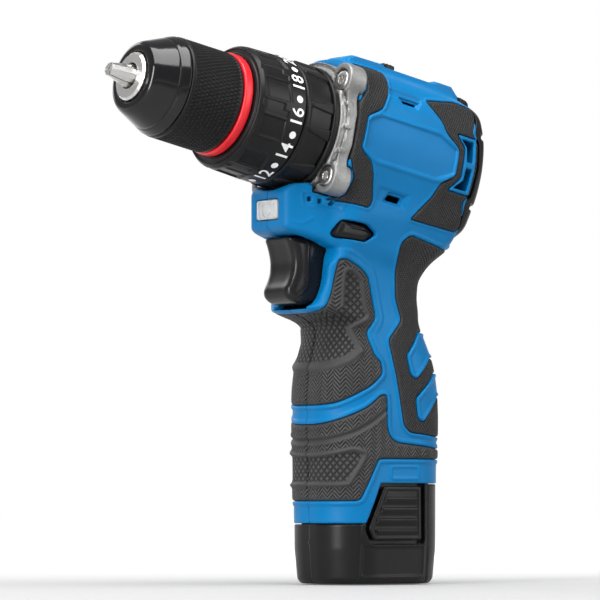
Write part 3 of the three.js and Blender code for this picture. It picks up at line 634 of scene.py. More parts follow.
# ---------------- carving helpers
def path_distance(a, b, points):
    """Distance to an open line through the points."""
    a, b = np.broadcast_arrays(a, b)
    best = np.full(a.shape, 1e9, np.float32)
    points = np.array(points, np.float32)
    for (x0, y0), (x1, y1) in zip(points, points[1:]):
        ex, ey = x1 - x0, y1 - y0
        wx, wy = a - x0, b - y0
        t = np.clip((wx * ex + wy * ey) / (ex * ex + ey * ey), 0, 1)
        best = np.minimum(best, (wx - ex * t) ** 2 + (wy - ey * t) ** 2)
    return np.sqrt(best)


def smoothed_path(points, steps=4):
    """A flowing line through the points."""
    p = np.array(points, float)
    ends = np.vstack([2 * p[0] - p[1], p, 2 * p[-1] - p[-2]])
    out = []
    for i in range(1, len(ends) - 2):
        p0, p1, p2, p3 = ends[i - 1:i + 3]
        for k in range(steps):
            t = k / steps
            bend = (2 * p0 - 5 * p1 + 4 * p2 - p3) * t ** 2 + (3 * p1 - p0 - 3 * p2 + p3) * t ** 3
            out.append(0.5 * (2 * p1 + (p2 - p0) * t + bend))
    out.append(p[-1])
    return out


def ridge(distance, height, width):
    return height * np.exp(-(distance / width) ** 2)


def carve(field, outline, outer, depth, soft=0.3):
    """A recess of even depth below the outer form where the outline is negative."""
    return cut_away(field, meet(outline, -(outer + depth)), soft)


def plateau(outline, height, bevel=1.0):
    """Height of a raised panel: full inside the outline, sloping to nothing over the bevel."""
    return height * (1 - step(outline, -bevel * 0.2, bevel * 0.8))


def lip(outline, height=LIP, width=1.5):
    return height * step(outline, -0.4, 0.3) * (1 - step(outline, width - 0.4, width + 0.4))


# ---------------- housing and pads
def head_outlines(grid):
    shoulder = distance_2d(grid.s, grid.v, rounded(SHOULDER_PAD, 1.2))
    cap = distance_2d(grid.s, grid.v, rounded(CAP_EDGE, 1.0))
    rear = meet(distance_2d(grid.s, grid.v, rounded(REAR_PAD, 1.2)), 1.0 - cap)
    vent_frame = distance_2d(grid.s, grid.v, rounded(VENT_FRAME, 0.8))
    return shoulder, rear, vent_frame


def grip_outlines(grid):
    front = distance_2d(grid.x, grid.z, rounded(FRONT_PAD, 1.6))
    lower = distance_2d(grid.x, grid.z, rounded(LOWER_PAD, 1.6))
    islands = [distance_2d(grid.x, grid.z, rounded(o, 1.0)) for o in STRAP_ISLANDS]
    islands = join(*islands)
    strap = meet(distance_2d(grid.x, grid.z, rounded(STRAP_PAD, 1.6)), 0.1 - islands)
    return front, lower, strap, islands


def styled_form(grid):
    """The outer form with its lips, panels and creases."""
    outer = outer_form(grid)
    shoulder, rear, vent_frame = head_outlines(grid)
    front, lower, strap, islands = grip_outlines(grid)
    side = np.abs(grid.y)
    flank = step(side, 12, 15)
    on_head = flank * step(grid.v, -30, -28)
    relief = np.zeros(outer.shape, np.float32)
    grip_lips = np.maximum(lip(front, 0.55), np.maximum(lip(lower), lip(strap, LIP, 1.2)))
    relief += np.maximum(grip_lips, plateau(front - 3.4, 0.35, 0.7) * step(grid.z, 84, 98))
    relief += plateau(islands, 0.55, 0.9) + np.maximum(lip(shoulder, 0.35, 1.1), lip(rear, 0.35, 1.0))
    hexagon = distance_2d(grid.s, grid.v, rounded(HEX_PLATE, 0.8))
    relief += (lip(hexagon, 0.5, 1.7) - plateau(hexagon, 0.25, 0.6)) * flank
    band = step(grid.v, 17.0, 17.7) * (1 - step(grid.v, 19.6, 20.3))
    band *= step(grid.s, -77, -76) * (1 - step(grid.s, -62, -60))
    lower_band = (1 - step(grid.v, -17.6, -16.9)) * step(grid.v, -22.6, -21.9)
    lower_band *= step(grid.s, -77.5, -76.5) * (1 - step(grid.s, -64, -62))
    relief -= (band + lower_band) * 0.55 * on_head
    badge = box_2d(grid.x + 3, grid.z - 41.2, 6, 1.8, 0.5)
    relief += lip(badge, 0.3, 0.9)
    sensor_plate = distance_2d(grid.x, grid.z, rounded(SENSOR_PLATE, 0.8))
    relief += (lip(sensor_plate, 0.25, 0.9) - plateau(sensor_plate, 0.2, 0.5)) * step(side, 9, 11)
    stroke = path_distance(grid.x, grid.z, [(42, 133.2), (39, 132.6), (35.5, 134.8)])
    relief += ridge(stroke, 0.3, 0.6) * step(side, 8, 10)
    return outer - relief, shoulder, rear, vent_frame, front, lower, strap


def flange_plan(side, height):
    lug = np.hypot(side - FLANGE["y"], height - FLANGE["v"]) - FLANGE["r"]
    waist = meet(np.hypot(side, height) - 27.2, side - 26.6, height - 28.2)
    return smooth_min(waist, lug, 5.0)


def openings(grid):
    """What is cut through the housing for the rings, the flange, the lamp and the speed slider."""
    s, v, x, y, z = grid.s, grid.v, grid.x, grid.y, grid.z
    side = np.abs(y)
    radius = np.hypot(y, v)
    lugs = np.hypot(side - FLANGE["y"], np.abs(v) - FLANGE["v"])
    low, high, half = LAMP
    lamp_way = box_2d(y, z - (low + high) / 2, half + 0.3, (high - low) / 2 + 0.3, 0.8)
    rear, front, slot_half = SPEED_SLOT
    slot = box_2d(s - (rear + front) / 2, y, (front - rear) / 2, slot_half, 1.2)
    return join(
        meet(radius - 21.5, -s - 54), meet(radius - 25.2, -s - 40.6),
        meet(lugs - FLANGE["r"] - 0.35, -s - 49),
        meet(flange_plan(side, np.abs(v)) - 0.3, -s - 46.9, s + 40.2),
        meet(lamp_way, 38 - x), meet(slot, 24 - v),
    )


def housing():
    grid = Grid((-46, -0.6, 20.6), (47.4, 28.8, 200.5), CELL)
    styled, shoulder, rear, vent_frame, front, lower, strap = styled_form(grid)
    s, v, x, y, z = grid.s, grid.v, grid.x, grid.y, grid.z
    side = np.abs(y)
    flare = 0.36 * np.clip(side - 9.6, 0, 8) * (1 - step(z, 117, 122)) * step(z, 102, 107)
    bay = distance_2d(x, z, rounded(BAY, 1.5, 5)) + flare
    solid = cut_away(styled, bay, 2.4)
    solid = cut_away(solid, distance_2d(x, z, BATTERY_STEP), 0.35)
    solid = cut_away(solid, meet(s + 104.0, -(v + 29)), 0.5)
    field = meet(solid, -(solid + WALL))
    for outline in (shoulder, rear, front, lower, strap):
        field = carve(field, outline, styled, PAD_DEPTH)
    raised = meet(vent_frame, styled - 0.5, -(styled + 1.6))
    field = join(field, raised)
    for corners in VENTS:
        field = cut_away(field, meet(distance_2d(s, v, rounded(corners, 0.4)), 12 - side), 0.4)
    for corners in SIDE_SLOTS:
        slot = distance_2d(s, v, corners)
        field = carve(field, slot - 0.5, styled, 0.9, 0.4)
        field = cut_away(field, meet(slot + 0.4, 12 - side), 0.3)
    for cx, cz in SENSOR_HOLES:
        field = carve(field, box_2d(x - cx, z - cz, 0.85, 0.85, 0.2), styled, 1.8, 0.2)
    trigger_slot = meet(side - BAY_HALF, np.abs(z - 115.2) - 13.6, 15 - x)
    selector_slot = meet(distance_2d(x, z, rounded(SELECTOR, 1.0)) - 0.35, 11 - side)
    field = cut_away(field, join(trigger_slot, selector_slot), 0.4)
    field = cut_away(field, openings(grid), 0.5)
    field = smooth_max(field, 0.07 - y, 0.35)
    for label, points, faces in both_sides(*surface(field, grid)):
        node = f"housing_{label}"
        make_piece(f"{node}_shell", points, faces, "drill_body", BLUE, (node,))


def at_points(field, grid, points):
    """The field's value at the sample nearest to each point."""
    nearest = np.rint((points - grid.low) / grid.cell).astype(int)
    nearest = np.clip(nearest, 0, np.array(grid.shape) - 1)
    return np.broadcast_to(field, grid.shape)[tuple(nearest.T)]


def write_mask(piece, name, value):
    mask = piece.data.attributes.new(name, "FLOAT", "POINT")
    mask.data.foreach_set("value", value.astype(np.float32))


def inside_mask(points, outline):
    """1 where a point lies inside the outline on the grip, 0 elsewhere."""
    if outline is None:
        return np.zeros(len(points))
    return (distance_2d(points[:, 0], points[:, 2], outline) < 0).astype(float)


def pad(name, grid, outline_of, relief_of=None, panel=None, look=RUBBER, seams=()):
    """A pad of rubber on each side, a little proud of the housing, with its masks for the tread."""
    outer = outer_form(grid)
    outline = outline_of(grid)
    relief = PAD_PROUD + (relief_of(grid) if relief_of else 0)
    edge = meet(outline + 0.14, 0.1 - grid.y)
    field = meet(smooth_max(edge, outer - relief, 1.3), -(outer + PAD_DEPTH - 0.04))
    field = meet(field, -openings(grid) + 0.15)
    mesh = surface(field, grid)
    plain = step(at_points(outline, grid, mesh[0]), -1.2, -0.7)
    for path, width in seams:
        along = path_distance(mesh[0][:, 0], mesh[0][:, 2], smoothed_path(path))
        plain = np.maximum(plain, 1 - step(along, width, width + 0.4))
    for label, points, faces in both_sides(*mesh):
        node = f"{name}_{label}"
        piece = make_piece(f"{node}_tread", points, faces, "drill_body", look, (node,))
        write_mask(piece, "panel", inside_mask(points, panel))
        write_mask(piece, "plain", plain)


TONGUE = [
    (24, 102.5), (23.5, 114), (22, 116), (19.5, 115.5), (16, 112.8), (15.2, 110.5), (13.5, 102),
    (12.4, 99.6), (14, 97.5), (17.8, 95.2), (18.3, 93.5), (16.2, 87.6), (16, 86),
]
TONGUE_BAND = [(16, 86), (20, 82.9), (26, 80.3), (33, 78.3), (42, 77.6)]
FRONT_PANEL = TONGUE + [(20, 82.9), (30, 79), (60, 78), (60, 98), (27, 98)]
LOWER_FOLD = [(5.5, 64.5), (12, 60), (20, 55.5), (30, 52), (40, 50.5), (50, 51.5)]
LOWER_TONGUE = [
    (46, 45), (40, 44.7), (32, 46), (26, 48), (20, 49.6), (17, 49), (15.3, 47.5), (19.8, 39),
    (21, 37.2), (24, 36.8), (46, 36.6),
]


def front_relief(grid):
    tongue = path_distance(grid.x, grid.z, smoothed_path(TONGUE))
    band = path_distance(grid.x, grid.z, smoothed_path(TONGUE_BAND))
    rim = path_distance(grid.x, grid.z, [(60, 66.6), (30, 67)])
    inset = 1 - step(distance_2d(grid.x, grid.z, FRONT_PANEL), -0.5, 0.5)
    return ridge(tongue, 1.0, 0.85) + ridge(band, 0.9, 1.5) - ridge(rim, 0.3, 0.8) - 0.25 * inset


def lower_relief(grid):
    fold = path_distance(grid.x, grid.z, smoothed_path(LOWER_FOLD))
    tongue = path_distance(grid.x, grid.z, smoothed_path(LOWER_TONGUE))
    inset = 1 - step(distance_2d(grid.x, grid.z, LOWER_TONGUE), -0.5, 0.5)
    return ridge(tongue, 0.9, 0.85) - ridge(fold, 0.6, 0.7) + ridge(fold - 1.4, 0.3, 0.7) - 0.2 * inset


def pads():
    cell = CELL * 0.85
    pad(
        "shoulder_pad", Grid((-2, -0.6, 130), (32, 29, 200), cell),
        lambda g: meet(head_outlines(g)[0], RIDGE_HALF + 0.3 - np.abs(g.y)), look=HEAD_RUBBER,
    )
    pad(
        "rear_pad", Grid((-40, -0.6, 124), (2, 29, 188), cell),
        lambda g: meet(head_outlines(g)[1], 0.15 - head_outlines(g)[2]), look=HEAD_RUBBER,
    )
    pad(
        "front_grip_pad", Grid((4, -0.6, 63), (41, 22, 122), cell), lambda g: grip_outlines(g)[0],
        front_relief, FRONT_PANEL, seams=[(TONGUE, 0.8), (TONGUE_BAND, 1.5)],
    )
    pad(
        "lower_grip_pad", Grid((-29, -0.6, 28), (30, 23, 72), cell), lambda g: grip_outlines(g)[1],
        lower_relief, LOWER_TONGUE, seams=[(LOWER_TONGUE, 0.8), (LOWER_FOLD, 1.2)],
    )
    pad(
        "back_strap_pad", Grid((-36, -0.6, 52), (6, 24, 132), cell), lambda g: grip_outlines(g)[2],
        look=STRAP_RUBBER,
    )


# ---------------- small pieces of the body
def rear_cap():
    grid = Grid((-113.4, -28, -31), (-101, 28, 34), CELL * 0.8, True)
    s, y, v = grid.s, grid.y, grid.v
    outline = distance_2d(s, v, rounded(CAP_EDGE, 1.0))
    outer = meet(head_form(s, y, v), outline + 0.15)
    end = -(s + 112.3) + 0.0016 * (y * y + v * v)
    outer = smooth_max(outer, end, 3.5)
    for height in (13.6, -13.6):
        notch = meet(np.abs(v - height) - 1.0, s + 107.4)
        outer = cut_away(outer, notch, 0.8)
    disc = np.hypot(y, v)
    outer = outer + 0.5 * ((disc < 12.5) & (disc > 11.6)) * (s < -109)
    for offset in (-6, -2, 2, 6):
        slit = meet(box_2d(y, v - offset, 7.5, 0.7, 0.6), s + 110.6)
        outer = cut_away(outer, slit, 0.3)
    field = meet(outer, -(outer + 2.4))
    moulded("rear_cap_shell", field, grid, "drill_body", BLACK, "rear_cap")


def flange():
    grid = Grid((-50, -0.6, -30), (-39, 29, 30), pick(0.38), True)
    s, y, v = grid.s, grid.y, grid.v
    side = np.abs(y)
    height = np.abs(v)
    radius = np.hypot(y, v)
    from_screw = np.hypot(side - FLANGE["y"], height - FLANGE["v"])
    plan = flange_plan(side, height)
    plate = smooth_max(plan + 0.3, meet(s + 41.8, -s - 46.4), 0.5)
    collar = smooth_max(radius - 24.9, meet(s + 40.4, -s - 46.4), 0.7)
    boss = smooth_max(from_screw - FLANGE["r"], meet(s + 40.8, -s - 48.5), 0.7)
    body = smooth_min(smooth_min(plate, boss, 0.7), collar, 0.6)
    channel = meet(np.abs(radius - 25.9) - 0.45, -s - 42.9)
    body = cut_away(body, channel, 0.6)
    for level in (0.0, 9.0):
        rib = meet(np.abs(height - level) - 0.7, np.abs(radius - 26) - 1.2, s + 41.3, -s - 44)
        body = smooth_min(body, rib, 0.5)
    body = cut_away(body, meet(from_screw - 4.2, -s - 44.15), 0.5)
    body = meet(body, -join(from_screw - 1.9, radius - FLANGE["bore"]))
    points, faces = mirrored_whole(body, grid)
    stands_for = ("gearbox_flange",)
    make_piece("gearbox_flange_casting", to_tool_axes(points), faces, "drill_body", ALUMINIUM, stands_for)


def screw(number, y, v):
    """Pan head with a six-sided socket, and its shank."""
    grid = Grid((-49.5, y - 4.4, v - 4.4), (-40.4, y + 4.4, v + 4.4), pick(0.16), True)
    dy, dv = grid.y - y, grid.v - v
    radius = np.hypot(dy, dv)
    head = smooth_max(radius - 3.7, meet(grid.s + 41.1, -grid.s - 44.1), 1.3)
    washer = smooth_max(radius - 4.0, meet(grid.s + 43.4, -grid.s - 44.15), 0.3)
    shank = meet(radius - 1.65, grid.s + 43, -grid.s - 49.2)
    body = join(smooth_min(head, washer, 0.3), shank)
    turns = [k * math.pi / 3 for k in range(3)]
    socket = meet(*(np.abs(dy * math.cos(turn) + dv * math.sin(turn)) for turn in turns)) - 1.55
    body = cut_away(body, meet(socket, -grid.s - 43.3), 0.15)
    moulded(f"flange_screw_{number}_head", body, grid, "drill_body", BRIGHT, f"flange_screw_{number}")


TRIGGER = [
    (41.6, 128.2), (39.6, 124), (38.4, 119), (38.8, 115), (40.2, 111.6), (41.8, 109), (41.6, 106),
    (38.6, 103.7), (30, 102.7), (22, 103.5), (17, 106), (16, 110), (16, 124), (17.5, 127.3),
]
TRIGGER_EDGE = [(33.2, 126), (33.6, 120), (33.4, 112), (35, 108.5), (39, 106)]


def trigger():
    grid = Grid((15, -10.4, 101.8), (43, 10.4, 129), FINE)
    outline = distance_2d(grid.x, grid.z, rounded(TRIGGER, 2.2, 5))
    side = np.abs(grid.y)
    outer = smooth_max(outline, side - 9.5 + 0.004 * np.maximum(grid.x - 28, 0) ** 2, 3.2)
    hollow = path_distance(grid.x, grid.z, [(42, 124), (41.5, 119), (42.5, 113)])
    outer = outer + ridge(hollow, 0.5, 3.0) * (1 - step(side, 3, 8))
    edge = path_distance(grid.x, grid.z, smoothed_path(TRIGGER_EDGE))
    outer = outer - ridge(edge, 0.28, 0.8) * step(side, 5, 8)
    field = meet(outer, -(outer + 1.8))
    moulded("trigger_lever", field, grid, "trigger", TRIGGER_BLACK, "trigger")


def selector():
    grid = Grid((8.5, -22, 125), (30.5, 22, 136.5), FINE)
    side = np.abs(grid.y)
    outline = distance_2d(grid.x, grid.z, rounded(SELECTOR, 1.2))
    paddle = smooth_max(outline, meet(side - 21.2, 13 - side), 1.4)
    facet = outline + 1.9
    paddle = smooth_max(paddle, side - 20.5 - np.clip(facet, 0, 1.9) * -0.35, 0.5)
    bar = meet(outline + 2.0, side - 14)
    arrow = join(
        path_distance(grid.x, grid.z, [(21.4, 131.7), (14.2, 130.8)]),
        path_distance(grid.x, grid.z, [(17.2, 132.4), (14.2, 130.8), (12.9, 129.8)]),
    )
    body = join(paddle, bar)
    body = cut_away(body, meet(arrow - 0.4, 19.9 - side), 0.3)
    moulded("direction_selector_bar", body, grid, "direction_selector", BLACK, "direction_selector")


def slider():
    grid = Grid((-77, -8, 28.8), (-67.4, 8, 34.8), pick(0.26), True)
    s, y, v = grid.s, grid.y, grid.v
    base = smooth_max(box_2d(s + 72.2, y, 4.2, 7.1, 1.0), meet(v - 31.4, 29.7 - v), 0.4)
    knob = smooth_max(box_2d(s + 72.6, y, 2.9, 5.4, 1.4), meet(v - 34.2, 30 - v), 1.2)
    for offset in (-1.6, 0, 1.6):
        knob = cut_away(knob, meet(np.abs(s + 72.6 - offset) - 0.28, 33.6 - v), 0.3)
    body = smooth_min(base, knob, 0.5)
    moulded("speed_slider_knob", body, grid, "speed_slider", BLACK, "speed_slider")


def lamp():
    grid = Grid((39.6, -7.0, 133.8), (46.4, 7.0, 142.6), pick(0.22))
    x, y, z = grid.x, grid.y, grid.z
    low, high, half = LAMP
    middle = (low + high) / 2
    plan = box_2d(y, z - middle, half, (high - low) / 2, 1.0)
    block = smooth_max(plan, meet(x - 45.7, 40.2 - x), 0.7)
    dome = np.hypot(y, z - middle) - 2.9
    block = cut_away(block, meet(dome, -dome - 0.6, 45.2 - x), 0.3)
    for level in (-3, 3):
        block = cut_away(block, meet(np.abs(y - level * 1.45) - 0.25, 45.2 - x), 0.3)
    block = meet(block, -meet(np.hypot(y, z - middle) - 2.4, x - 43.2))
    moulded("lamp_lens_clear", block, grid, "drill_body", CLEAR, "lamp_lens")
    spot = Grid((38.6, -2.6, middle - 2.6), (43.2, 2.6, middle + 2.6), 0.22)
    bead = smooth_max(np.hypot(spot.y, spot.z - middle) - 1.9, meet(spot.x - 42.6, 39.2 - spot.x), 1.6)
    moulded("lamp_led_bead", bead, spot, "drill_body", LED)


# ---------------- battery and latches
# battery sections: height, reach forward, reach back, half width, corner radius
BASE = [
    (0, 23.6, 23.6, 18.2, 15.5), (0.6, 24.3, 24.4, 19.0, 16), (1.8, 25.0, 25.2, 19.8, 16.6),
    (13, 26.0, 26.2, 20.5, 17), (41, 26.1, 26.3, 20.6, 17),
]
BATTERY_TOP = [(-60, -20), (60, -20), (60, 21.9), (14.0, 21.9), (7.8, 36.9), (-60, 36.9)]
LATCH_POCKET = [(7.4, 38.4), (-13.0, 38.4), (-13.0, 14.6), (12.4, 14.6), (14.9, 20.2)]


def base_form(grid):
    front, back, half, radius = (profile(BASE, grid.z, n, 0.6) for n in (1, 2, 3, 4))
    return box_2d(grid.x - (front - back) / 2, grid.y, (front + back) / 2, half, radius)


def battery():
    grid = Grid((-27.4, -0.6, -0.8), (27.4, 21.8, 74), CELL * 0.82)
    x, y, z = grid.x, grid.y, grid.z
    step_cut = distance_2d(x, z, BATTERY_TOP)
    form = base_form(grid)
    outer = smooth_max(form, meet(step_cut - 0.15, 0.02 - z), 0.5)
    plate = box_2d(x - 1.8, z - 8.5, 13.6, 5.5, 0.8)
    rail = path_distance(x, z, [(-14.4, 40), (-14.4, 1)])
    outer = outer - (lip(plate, 0.28, 0.9) - plateau(plate, 0.15, 0.6)) * step(y, 12, 15)
    outer = outer + ridge(rail, 0.45, 0.5) * step(y, 10, 13)
    seam = path_distance(x, z, [(16.4, 40), (16.4, -2)])
    outer = outer + ridge(seam, 0.12, 0.35) * step(y, 8, 11)
    pocket = distance_2d(x, z, rounded(LATCH_POCKET, 1.4))
    outer = outer - lip(pocket, 0.3, 1.2) * step(y, 12, 14)
    stick = smooth_max(box_2d(x, y, 19.7, 17.8, 10.5), meet(z - 72.8, 18 - z), 1.6)
    for level in (57, 62):
        stick = cut_away(stick, meet(np.abs(z - level) - 0.8, 12.5 - x), 0.4)
    rim = meet(form + 2.9, step_cut - 1.4, 10 - z)
    solid = smooth_min(join(outer, rim), stick, 1.0)
    solid = cut_away(solid, meet(pocket, 17.4 - y), 0.4)
    for offset in (3.2, 8.2, 13.2):
        slot = meet(np.abs(y - offset) - 0.55, np.abs(x + 8) - 8, 66 - z)
        solid = meet(solid, -slot)
    foot = path_distance(x, y, [(-18, 0), (-18, 9), (18, 9), (18, 0)])
    solid = solid + ridge(foot, 0.45, 0.7) * (z < 3)
    points, faces = mirrored_whole(meet(solid, -(solid + 1.8)), grid)
    make_piece("battery_shell", points, faces, "battery", BLACK, ("battery_case",))


def latches():
    grid = Grid((-12, 17.2, 15), (15, 22.2, 37), pick(0.28))
    x, y, z = grid.x, grid.y, grid.z
    plan = distance_2d(x, z, rounded(LATCH, 0.9))
    inner = distance_2d(x, z, [(4.6, 34.6), (-9.4, 34.6), (-9.4, 17.8), (9.8, 17.8), (11.0, 20.8)])
    face = 20.3 - 0.3 * (1 - step(inner, -0.2, 0.5))
    plate = smooth_max(plan, meet(y - face, 19.0 - y), 0.8)
    for level in (31.2, 27.3, 23.3, 19.4):
        rise = np.clip((z - level + 1.6) / 1.6, 0, 1)
        rib = meet(np.abs(z - level + 0.4) - 1.3, inner + 0.4, y - 20.0 - rise, 19.2 - y)
        plate = smooth_min(plate, rib, 0.3)
    for label, points, faces in both_sides(*surface(plate, grid)):
        body = f"latch_{label}"
        make_piece(f"{body}_plate", points, faces, body, BLACK, (body,))


# ---------------- turned pieces: chuck and rings
def dense(profile_points, longest):
    """A closed profile with no step longer than asked."""
    out = []
    points = [np.array(p, float) for p in profile_points]
    for a, b in zip(points, points[1:] + points[:1]):
        count = max(1, int(math.ceil(np.linalg.norm(b - a) / longest)))
        out.extend(a + (b - a) * k / count for k in range(count))
    return np.array(out)


def turned(name, outline, around, body, material, stands_for, relief=None, longest=0.6, soften=0.35):
    """A ring about the barrel's axis, from an outline of distance and radius.

    The relief moves the outer face along its normal.
    """
    ring = dense(rounded(outline, soften, 4), longest)
    tangent = np.roll(ring, -1, 0) - np.roll(ring, 1, 0)
    normal = np.stack([-tangent[:, 1], tangent[:, 0]], 1)
    normal /= np.maximum(np.linalg.norm(normal, axis=1, keepdims=True), 1e-9)
    area = np.sum(ring[:, 0] * np.roll(ring[:, 1], -1) - np.roll(ring[:, 0], -1) * ring[:, 1])
    normal *= -1 if area > 0 else 1
    angle = np.arange(around) * 2 * math.pi / around
    s = np.repeat(ring[:, 0][:, None], around, 1)
    r = np.repeat(ring[:, 1][:, None], around, 1)
    if relief is not None:
        lift = relief(s, angle[None, :] + 0 * s) * (normal[:, 1:2] > 0.25)
        s = s + lift * normal[:, 0:1]
        r = r + lift * normal[:, 1:2]
    points = np.stack([s, r * np.cos(angle), r * np.sin(angle)], 2).reshape(-1, 3)
    rows, columns = len(ring), around
    i, j = np.meshgrid(np.arange(rows), np.arange(columns), indexing="ij")
    a, b = (i + 1) % rows, (j + 1) % columns
    faces = np.stack([i * columns + j, a * columns + j, a * columns + b, i * columns + b], 2).reshape(-1, 4)
    faces = faces if area < 0 else faces[:, ::-1]
    make_piece(name, to_tool_axes(points), faces, body, material, (stands_for,))


def triangle(value):
    """0 at whole numbers, 1 half way between."""
    return 1 - np.abs((value % 1) * 2 - 1)


def knurl(s, angle):
    zone = step(s, 1.2, 1.7) * (1 - step(s, 20.9, 21.4))
    turns = angle / (2 * math.pi) * 80
    pitch = 1.7
    diamonds = np.minimum(triangle(turns + s / pitch / 2), triangle(turns - s / pitch / 2))
    return -0.5 * zone * (1 - np.clip(diamonds * 1.35, 0, 1))


def torque_relief(s, angle):
    """Ten recessed finger panels stepped around the ring, shallower lands between them, and one fine groove.
    """
    turn = angle / (2 * math.pi) * 10 + 0.04
    phase = (turn % 1) - 0.5
    across = np.abs(phase) * 36
    slant = phase * 2.4
    panel = (1 - step(across, 8.6, 10.0)) * step(s - slant, -18.3, -17.6) * (1 - step(s - slant, -8.2, -7.4))
    land = step(across, 11.2, 12.4) * step(s + slant, -17.0, -16.3) * (1 - step(s + slant, -7.4, -6.6))
    return -0.75 * panel - 0.3 * land - ridge(s + 25.6, 0.2, 0.4)


def mode_relief(s, angle):
    """Six pairs of wedge ribs that widen towards the head."""
    degrees = np.degrees(angle)
    toward = np.clip((-27.2 - s) / 10, 0, 1)
    phase = (degrees - 1 + 30) % 60 - 30
    centre = 11.0 + 1.5 * toward
    half = 1.6 + 3.6 * toward
    rib = 1 - step(np.abs(np.abs(phase) - centre), half - 0.6, half + 0.6)
    return 0.5 * rib * step(-s, 27.0, 28.2) - 0.25 * (1 - rib) * step(-s, 27.0, 28.2)


# outlines of the rings: distance ahead of the chuck sleeve's rear edge, radius
SLEEVE = [(0.15, 17.0), (0.15, 18.7), (0.6, 19.12), (21.6, 19.0), (22.3, 18.86), (22.75, 18.5), (22.75, 17.0)]
NOSE = [
    (23.1, 17.0), (23.1, 18.45), (23.5, 18.72), (24.1, 18.55), (26.1, 17.55), (26.5, 17.15),
    (26.9, 16.85), (27.3, 17.05), (27.9, 16.85), (34.6, 14.0), (35.9, 13.2), (36.5, 12.4),
    (36.75, 11.5), (36.75, 9.9), (36.2, 9.55), (33.5, 9.55), (33.5, 12.4), (26.6, 15.6), (24, 16.4),
]
LOCK_RING = [(-4.15, 14.2), (-4.15, 18.9), (-3.7, 19.4), (-0.8, 19.4), (-0.4, 18.9), (-0.4, 14.2)]
TORQUE_RING = [
    (-4.55, 15.1), (-4.55, 20.4), (-5.2, 20.9), (-5.2, 21.6), (-4.7, 22.0), (-5.1, 22.5), (-6.1, 23.2),
    (-8, 23.45), (-17.2, 23.75), (-24.7, 23.95), (-25.1, 23.5), (-25.1, 21.4), (-7.1, 21.4), (-7.1, 15.1),
]
MODE_RING = [(-25.55, 21.4), (-25.55, 23.3), (-26.1, 23.75), (-37.0, 23.75), (-37.45, 23.3), (-37.45, 21.4)]
DUST_RING = [(-37.85, 21.4), (-37.85, 23.9), (-38.2, 24.3), (-39.7, 24.4), (-39.95, 24.1), (-39.95, 21.4)]


def chuck_and_rings():
    knurl_step, ring_step, ring_around = pick(0.16), pick(0.28), pick(900)
    turned(
        "chuck_sleeve_knurl", SLEEVE, pick(960), "chuck_grip", BLACK, "chuck_sleeve", knurl, knurl_step,
    )
    turned("chuck_nose_cone", NOSE, 360, "chuck_grip", GLOSS, "chuck_nose", None, 0.4, 0.5)
    turned("lock_ring_red", LOCK_RING, 320, "spindle", RED, "lock_ring", None, 0.5, 0.3)
    turned(
        "torque_ring_grip", TORQUE_RING, ring_around, "torque_ring", BLACK, "torque_ring", torque_relief,
        ring_step,
    )
    turned("mode_ring_grip", MODE_RING, ring_around, "mode_ring", BLACK, "mode_ring", mode_relief, ring_step)
    turned("dust_ring_band", DUST_RING, 240, "drill_body", BLACK, "dust_ring", None, 0.6, 0.25)


# ---------------- dial numbers
FIRST_NUMBER_ANGLE = -4.0
NUMBER_STEP = 360 / 11
NUMBER_PLACE = -21.7
DIAL_RADIUS = 24.02


def wrapped(flat):
    """Flat artwork, x around the ring and y towards the chuck, laid on the dial."""
    angle = flat[:, 0] / DIAL_RADIUS
    radius = DIAL_RADIUS + flat[:, 2]
    return np.stack([NUMBER_PLACE + flat[:, 1], radius * np.cos(angle), radius * np.sin(angle)], 1)


def figure(text, height):
    """The outline of a number as a filled flat mesh: corner points and triangles."""
    curve = bpy.data.curves.new("figure", "FONT")
    curve.body = text
    curve.align_x, curve.align_y = "CENTER", "CENTER"
    curve.size = height
    curve.offset = height * 0.012
    curve.resolution_u = 6
    holder = bpy.data.objects.new("figure", curve)
    bpy.context.scene.collection.objects.link(holder)
    evaluated = holder.evaluated_get(bpy.context.evaluated_depsgraph_get())
    mesh = bpy.data.meshes.new_from_object(evaluated)
    mesh.calc_loop_triangles()
    points = np.array([v.co for v in mesh.vertices], float)
    faces = np.array([t.vertices for t in mesh.loop_triangles], int)
    bpy.data.objects.remove(holder)
    return points, faces


def dial():
    points, faces, count = [], [], 0
    angles = np.arange(25) * 2 * math.pi / 24
    dot = np.array([(0, 0, 0)] + [(math.cos(a) * 1.4, math.sin(a) * 1.4, 0) for a in angles[:-1]])
    dot_faces = np.array([(0, k + 1, (k + 1) % 24 + 1) for k in range(24)])
    for number in range(2, 23, 2):
        place = FIRST_NUMBER_ANGLE + (number - 16) / 2 * NUMBER_STEP
        marks = [(*figure(str(number), 7.4), place), (dot, dot_faces, place + NUMBER_STEP / 2)]
        for flat, triangles, degrees in marks:
            moved = flat + [math.radians(degrees) * DIAL_RADIUS, 0, 0.04]
            points.append(wrapped(moved))
            faces.append(triangles + count)
            count += len(flat)
    points = to_tool_axes(np.concatenate(points))
    make_piece("dial_numbers", points, np.concatenate(faces), "torque_ring", WHITE)


# ---------------- stage, lights and camera
# the way the camera looks
AWAY = (-0.594, -0.803, 0.052)


def area_light(name, place, aim, size, power, size_y=None, color=(1, 1, 1)):
    data = bpy.data.lights.new(name, "AREA")
    data.shape = "RECTANGLE"
    data.size, data.size_y = size, size_y or size
    data.energy = power
    data.color = color
    light = bpy.data.objects.new(name, data)
    light.location = place
    light.rotation_euler = (Vector(aim) - Vector(place)).to_track_quat("-Z", "Y").to_euler()
    bpy.context.scene.collection.objects.link(light)


